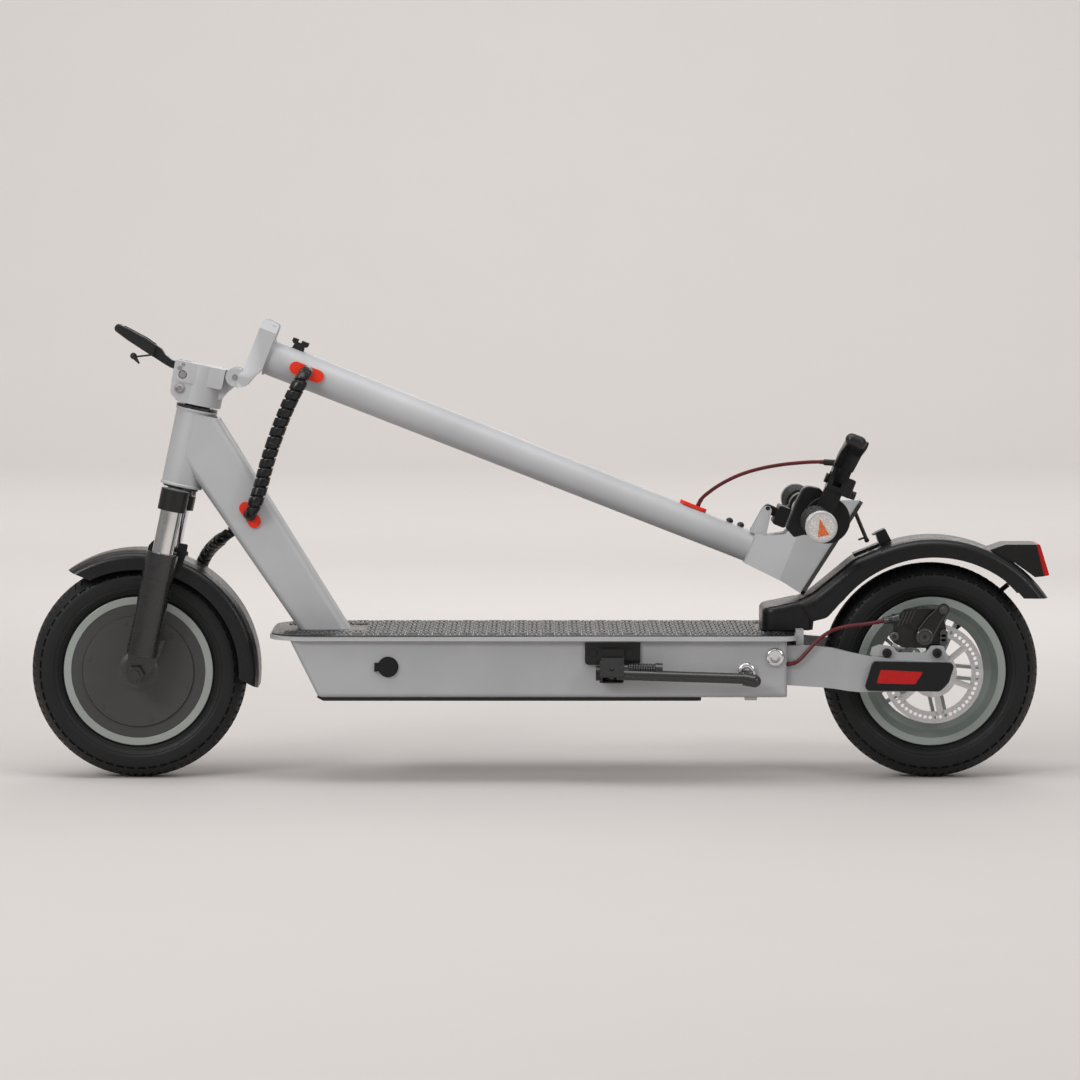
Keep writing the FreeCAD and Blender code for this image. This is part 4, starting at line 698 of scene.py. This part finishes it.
def turned(name, centre, profile, shader, body, ridges=0, deep=0.0):
    """A turned piece along Y. profile is (radius, y) in mm from front to back; ridges knurl its side."""
    loop = [(0.0002, profile[0][1] / 1000)] + [(r / 1000, y / 1000) for r, y in profile]
    loop.append((0.0002, profile[-1][1] / 1000))

    def sunk(angle, radius, y):
        if not ridges or radius < 0.001:
            return 0.0, 0.0
        return deep / 1000 * (0.5 + 0.5 * math.cos(angle * ridges)), 0.0
    obj = lathe_y(name, loop, (centre[0] / 1000, 0.0, centre[1] / 1000), TURNED_STEPS, shader, body, sunk)
    by_angle(obj, 40)


def bar(name, points, width, y0, y1, shader, body):
    """A raised rib: a strip 'width' mm wide along an (x, z) line, from y0 to y1."""
    verts, faces = [], []
    count = len(points)
    for i, (x, z) in enumerate(points):
        before, after = points[max(i - 1, 0)], points[min(i + 1, count - 1)]
        along = Vector((after[0] - before[0], after[1] - before[1])).normalized()
        off = Vector((-along.y, along.x)) * width / 2
        for sign, share, y in ((-1, 1.0, y1), (-1, 0.55, y0), (1, 0.55, y0), (1, 1.0, y1)):
            verts.append(((x + sign * share * off.x) / 1000, y / 1000, (z + sign * share * off.y) / 1000))
    for i in range(count - 1):
        for k in range(4):
            m = (k + 1) % 4
            faces.append((4 * i + k, 4 * i + m, 4 * i + 4 + m, 4 * i + 4 + k))
    faces.append((3, 2, 1, 0))
    faces.append(tuple(4 * (count - 1) + k for k in range(4)))
    obj = mesh_object(name, verts, faces, shader, body, smooth=False)
    outward(obj)


def caliper_details():
    """What rides the caliper's arm and what is fixed to its body; (x, z) places in mm."""
    pivot, clamp = (450.0, 172.0), (471.5, 204.4)
    arm = "caliper_arm"
    turned("caliper_pivot_cap", pivot, ((9.6, -71.8), (9.6, -72.6), (8.7, -73.2), (7.6, -73.2), (7.2, -72.4),
           (6.3, -72.4), (5.9, -73.6), (3.4, -73.9), (2.4, -73.9), (2.4, -71.9))[::-1], CAST_LIT_COPY, arm)
    turned("caliper_pivot_socket_shade", pivot, ((2.3, -74.6), (2.3, -72.0)), SOCKET_SHADE, arm)
    turned("cable_clamp_washer", clamp, ((5.2, -77.0), (5.4, -76.4), (5.4, -75.6)), CAST_LIT_COPY, arm)
    turned("cable_clamp_bolt", clamp, ((2.9, -79.4), (3.3, -79.0), (3.3, -76.6)), CAST_LIT_COPY, arm, 6, 0.35)
    for side, start, end in ((-1, (442.6, 180.4), (466.4, 207.4)), (1, (459.2, 171.4), (477.0, 201.6))):
        middle = ((start[0] + end[0]) / 2 - 1.1, (start[1] + end[1]) / 2 + 0.9)
        bar(f"caliper_arm_rib_{side}", (start, middle, end), 1.9, -72.9, -71.6, CAST_LIT_COPY, arm)
    for i in range(4):
        foot = (419.0 + 4.6 * i, 184.5 + 1.0 * i)
        head = (426.5 + 4.2 * i, 200.6 + 0.8 * i)
        bar(f"caliper_rib_{i}", (foot, head), 1.7, -66.5, -64.5, CAST_LIT_COPY, "frame")
    bar("caliper_brow", ((441.5, 204.6), (452.0, 205.6), (462.0, 204.0)), 2.0, -66.5, -64.5, CAST_LIT_COPY, "frame")
    turned("pad_adjuster", (414.6, 172.4), ((4.6, -72.4), (5.6, -71.6), (5.6, -64.0)), CAST_LIT_COPY, "frame", 12, 0.5)
    turned("pad_adjuster_socket_shade", (414.6, 172.4), ((2.2, -72.9), (2.2, -71.8)), SOCKET_SHADE, "frame")
    for i in range(3):
        turned(f"pad_housing_{i}", (472.2, 165.6 + 5.2 * i), ((4.3, -70.6), (5.0, -69.9), (5.0, -64.0)), CAST_LIT_COPY,
               "frame", 8, 0.25)
    start, end = Vector((0.4025, -0.06466, 0.19030)), Vector((0.4205, -0.063, 0.1939))
    stations = even([start.lerp(end, i / 20) for i in range(21)], 0.0003)

    def knurled(at, angle):
        if 0.0105 < at < 0.0145:
            return 0.0044
        return 0.0047 - 0.0005 * (0.5 + 0.5 * math.cos(angle * 10)) if at < 0.0105 else 0.0050
    barrel = tube_along("barrel_adjuster", stations, knurled, CAST_LIT_COPY, "frame", 60)
    by_angle(barrel, 40)


caliper_details()


# ---- deck mat --------------------------------------------------------------------------------
MAT_TOP = 0.1775
MAT_FLOOR = 0.1763
MAT_BASE = 0.1745


CORNER_STEPS = 14


def rounded_plan(x0, x1, half, front_r, rear_r):
    """Closed outline of the mat, front at x0."""
    made = []
    corners = ((x0 + front_r, -half + front_r, front_r, 180), (x1 - rear_r, -half + rear_r, rear_r, 270),
               (x1 - rear_r, half - rear_r, rear_r, 0), (x0 + front_r, half - front_r, front_r, 90))
    for cx, cy, r, start in corners:
        for i in range(CORNER_STEPS + 1):
            a = math.radians(start + 90 * i / CORNER_STEPS)
            made.append((cx + r * math.cos(a), cy + r * math.sin(a)))
    return made


def mat_base():
    plan = rounded_plan(-0.314, 0.298, 0.0935, 0.043, 0.015)
    inner = rounded_plan(-0.3128, 0.2968, 0.0923, 0.0418, 0.0138)
    count = len(plan)
    verts = [(x, y, MAT_BASE) for x, y in plan] + [(x, y, MAT_FLOOR - 0.0004) for x, y in plan]
    verts += [(x, y, MAT_FLOOR) for x, y in inner]
    faces = [tuple(reversed(range(count))), tuple(2 * count + i for i in range(count))]
    for ring in (0, count):
        for i in range(count):
            j = (i + 1) % count
            faces.append((ring + i, ring + j, ring + count + j, ring + count + i))
    obj = mesh_object("deck_mat_base", verts, faces, MAT, "frame")
    by_angle(obj, 30)
    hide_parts("deck_mat")


def pillow(verts, faces, cx, cy, length, width, along_x):
    """One raised rib of the woven pattern, with rounded shoulders and ends."""
    base = len(verts)
    rings = ((0.5, 0.5, MAT_FLOOR - 0.0002), (0.48, 0.46, MAT_TOP - 0.0005), (0.44, 0.34, MAT_TOP - 0.0001),
             (0.38, 0.14, MAT_TOP))
    for a, b, z in rings:
        hx, hy = (a * length, b * width) if along_x else (b * width, a * length)
        cut = 0.28 * min(hx, hy)
        for x, y in ((-hx + cut, -hy), (hx - cut, -hy), (hx, -hy + cut), (hx, hy - cut), (hx - cut, hy),
                     (-hx + cut, hy), (-hx, hy - cut), (-hx, -hy + cut)):
            verts.append((cx + x, cy + y, z))
    for ring in range(len(rings) - 1):
        for i in range(8):
            j = (i + 1) % 8
            low = base + ring * 8
            faces.append((low + i, low + j, low + 8 + j, low + 8 + i))
    top = base + 8 * (len(rings) - 1)
    faces.append(tuple(top + i for i in range(8)))
    faces.append(tuple(base + i for i in reversed(range(8))))


WEAVE_CELL = 0.01585
WEAVE_SHIFT = -0.006


def mat_weave():
    """Cells of three ribs, turned a quarter from one cell to the next."""
    verts, faces = [], []
    cell = WEAVE_CELL
    for i in range(-19, 20):
        for j in range(-5, 6):
            cx, cy = i * cell + WEAVE_SHIFT, j * cell
            # inside the edge, short of the fender's foot, clear of the down tube, and off the front corners
            if not (-0.300 < cx < (0.254 if abs(cy) < 0.06 else 0.283) and abs(cy) < 0.083):
                continue
            if cx - 0.010 < -0.2155 and abs(cy) < 0.034:
                continue
            if cx < -0.272 and abs(cy) > 0.062 + (cx + 0.300) * 0.6:
                continue
            along_x = (i + j) % 2 == 0
            for k in (-1, 0, 1):
                shift = k * cell / 3
                x, y = (cx, cy + shift) if along_x else (cx + shift, cy)
                pillow(verts, faces, x, y, cell * 0.93, cell / 3 * 0.80, along_x)
    obj = mesh_object("deck_mat_weave", verts, faces, MAT, "frame")
    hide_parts("deck_mat")


MAT = rubbery("mat_rubber", (0.006, 0.006, 0.0063), rough=0.28, dust=0.1, gloss=0.5)
mat_base()
mat_weave()


# ---- lamps and panel -------------------------------------------------------------------------
def bar_end_finish():
    """Clear cap over a bright disc that carries an orange triangle, in a silver collar."""
    low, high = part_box("bar_end_lights")
    centre = (low + high) / 2
    s = Shader("bar_end_cap")
    flat = s.place(centre=(centre.x, 0.0, centre.z), turn=(0, math.radians(12), 0))
    split = s.node("ShaderNodeSeparateXYZ")
    s.link(flat, split.inputs[0])
    x, z = split.outputs["X"], split.outputs["Z"]
    # an upright triangle 20 mm tall: two slanted edges and a base
    slope = 0.33
    inside = [s.spread(s.math("ADD", z, 0.0105), 0.0, 0.0006, 0.0, 1.0)]
    for side in (-1, 1):
        edge = s.math("ADD", s.math("MULTIPLY", x, side), s.math("MULTIPLY", z, slope))
        inside.append(s.spread(edge, 0.0030, 0.0036, 1.0, 0.0))
    triangle = s.math("MULTIPLY", s.math("MULTIPLY", inside[0], inside[1]), inside[2])
    far = s.math("SQRT", s.math("ADD", s.math("MULTIPLY", x, x), s.math("MULTIPLY", z, z)))
    disc = s.spread(far, 0.0143, 0.0149, 1.0, 0.0)
    prisms_and_painted_glints = s.cells(480.0)
    # painted glints: the bright disc and the orange triangle lighter in the middle of each prism and darker at its
    # edges
    bright = s.mix(s.spread(prisms_and_painted_glints, 0.0, 0.5, 0.0, 1.0), (0.86, 0.83, 0.80), (0.50, 0.47, 0.45))
    orange = s.mix(s.spread(prisms_and_painted_glints, 0.0, 0.5, 0.0, 1.0), (0.90, 0.26, 0.05), (0.55, 0.10, 0.02))
    face = s.mix(triangle, bright, orange)
    s.colour(s.mix(disc, (0.42, 0.42, 0.43), face))
    s.rough(s.spread(s.noise(90.0), 0.3, 0.7, 0.12, 0.2))
    s.put("Coat Weight", 1.0).put("Coat Roughness", 0.03)
    s.bump(prisms_and_painted_glints, 0.25, 0.0005)
    return s


FINISHES["bar_end_lights"] = bar_end_finish()


def lens_glass():
    s = Shader("headlight_glass")
    s.colour(s.mix(s.spread(s.noise(40.0), 0.3, 0.7, 0.0, 1.0), (0.80, 0.84, 0.88), (0.9, 0.92, 0.94)))
    s.rough(s.spread(s.noise(240.0), 0.3, 0.7, 0.04, 0.09))
    s.put("Transmission Weight", 0.55).put("IOR", 1.49)
    wave = s.node("ShaderNodeTexWave", bands_direction="X")
    wave.inputs["Scale"].default_value = 140.0
    s.link(s.coords, wave.inputs["Vector"])
    s.bump(wave.outputs["Fac"], 0.25, 0.0004)
    return s


FINISHES["headlight_lens"] = lens_glass()


# ---- CAD nodes: finish, shading and edges ----------------------------------------------------
SOFT_EDGES = {
    "deck_hull": 0.0008, "deck_rim": 0.0008, "bottom_cover": 0.0006, "stem_head": 0.0011, "fold_base": 0.0009,
    "display_panel": 0.0008, "rear_fork": 0.0008, "rear_fender": 0.0010, "front_fender": 0.0009,
    "arm_end_covers": 0.0009, "latch_lever": 0.0007, "control_pods": 0.0008, "brake_perch": 0.0006,
    "brake_lever": 0.0006, "kickstand_bracket": 0.0005, "kickstand_leg": 0.0004, "caliper_body": 0.0006,
    "caliper_arm": 0.0005, "fork_crown": 0.0008, "fork_legs": 0.0006, "fender_fittings": 0.0006,
    "headlight": 0.0007, "stem_hooks": 0.0004, "throttle_paddle": 0.0006, "head_tube": 0.0006,
    "red_lenses": 0.0006, "grips": 0.0005, "rear_rim": 0.0006, "front_rim": 0.0005, "motor_covers": 0.0005,
    "charge_cap": 0.0005, "charge_port": 0.0004, "fold_hardware": 0.0003, "rear_axle": 0.0003,
    "front_axle": 0.0004, "frame_grommet": 0.0006, "stem_grommets": 0.0006, "fork_bolts": 0.0003,
    "turn_switch": 0.0004, "horn_button": 0.0004, "power_button": 0.0003, "brake_disc": 0.0002,
    "handlebar": 0.0004, "stem_tube": 0.0004, "bar_end_lights": 0.0004,
}
for name, node in NODES.items():
    shader = FINISHES[name]
    node.data.materials.clear()
    node.data.materials.append(shader.mat)
    if node.hide_render:
        continue
    by_angle(node, 28)
    if name in SOFT_EDGES:
        bevelled(node, SOFT_EDGES[name])


# ---- studio ----------------------------------------------------------------------------------
def studio():
    """A pale seamless backdrop with its own wash of light, and soft lights round the scooter."""
    scene = bpy.context.scene
    scene.view_settings.view_transform = "Standard"
    world = bpy.data.worlds.new("studio")
    scene.world = world
    world.use_nodes = True
    tree = world.node_tree
    background = tree.nodes["Background"]
    coords = tree.nodes.new("ShaderNodeTexCoord").outputs["Generated"]
    split = tree.nodes.new("ShaderNodeSeparateXYZ")
    tree.links.new(coords, split.inputs[0])
    ramp = tree.nodes.new("ShaderNodeValToRGB")
    ramp.color_ramp.elements[0].position = 0.30
    ramp.color_ramp.elements[0].color = (0.26, 0.253, 0.248, 1)
    ramp.color_ramp.elements[1].position = 0.75
    ramp.color_ramp.elements[1].color = (0.80, 0.785, 0.77, 1)
    height = tree.nodes.new("ShaderNodeMapRange")
    for key, number in (("From Min", -0.4), ("From Max", 1.0), ("To Min", 0.0), ("To Max", 1.0)):
        height.inputs[key].default_value = number
    tree.links.new(split.outputs["Z"], height.inputs["Value"])
    tree.links.new(height.outputs["Result"], ramp.inputs["Fac"])
    tree.links.new(ramp.outputs["Color"], background.inputs["Color"])
    background.inputs["Strength"].default_value = 0.8

    s = Shader("floor")
    s.colour(s.mix(s.noise(3.0), (0.555, 0.526, 0.511), (0.565, 0.535, 0.52)))
    s.rough(s.spread(s.noise(8.0), 0.3, 0.7, 0.85, 0.95))
    half, depth, radius, rise = 30.0, 9.0, 2.6, 9.0
    profile = [(-half, 0.0), (0.0, 0.0), (2.0, 0.0)]
    for i in range(13):
        a = math.radians(90 * i / 12)
        profile.append((depth - radius + radius * math.sin(a), radius - radius * math.cos(a)))
    profile.append((depth, rise))
    verts, faces = [], []
    for y, z in profile:
        verts += [(-half, y, z), (half, y, z)]
    for i in range(len(profile) - 1):
        faces.append((2 * i, 2 * i + 1, 2 * i + 3, 2 * i + 2))
    data = bpy.data.meshes.new("backdrop")
    data.from_pydata(verts, [], faces)
    data.polygons.foreach_set("use_smooth", [True] * len(data.polygons))
    data.materials.append(s.mat)
    floor = bpy.data.objects.new("backdrop", data)
    bpy.context.collection.objects.link(floor)

    def area(name, place, aim, size_xy, power, colour=(1, 1, 1)):
        light = bpy.data.lights.new(name, "AREA")
        light.shape = "RECTANGLE"
        light.size, light.size_y = size_xy
        light.energy = power
        light.color = colour
        obj = bpy.data.objects.new(name, light)
        bpy.context.collection.objects.link(obj)
        obj.location = place
        obj.rotation_euler = (Vector(aim) - Vector(place)).to_track_quat("-Z", "Y").to_euler()

    area("overhead", (-0.2, -0.5, 2.6), (0, 0, 0.2), (3.0, 1.2), 34)
    area("key", (-2.4, -3.0, 2.3), (0, 0, 0.25), (1.5, 1.0), 60)
    area("fill", (2.6, -2.6, 1.6), (0, 0, 0.2), (0.7, 1.2), 16)
    area("back", (0.6, 2.4, 1.5), (0, 0, 0.3), (2.4, 0.8), 14)
    area("backdrop_wash", (0.0, 2.6, 5.2), (0, 8.8, 2.4), (7.0, 2.0), 395)


studio()
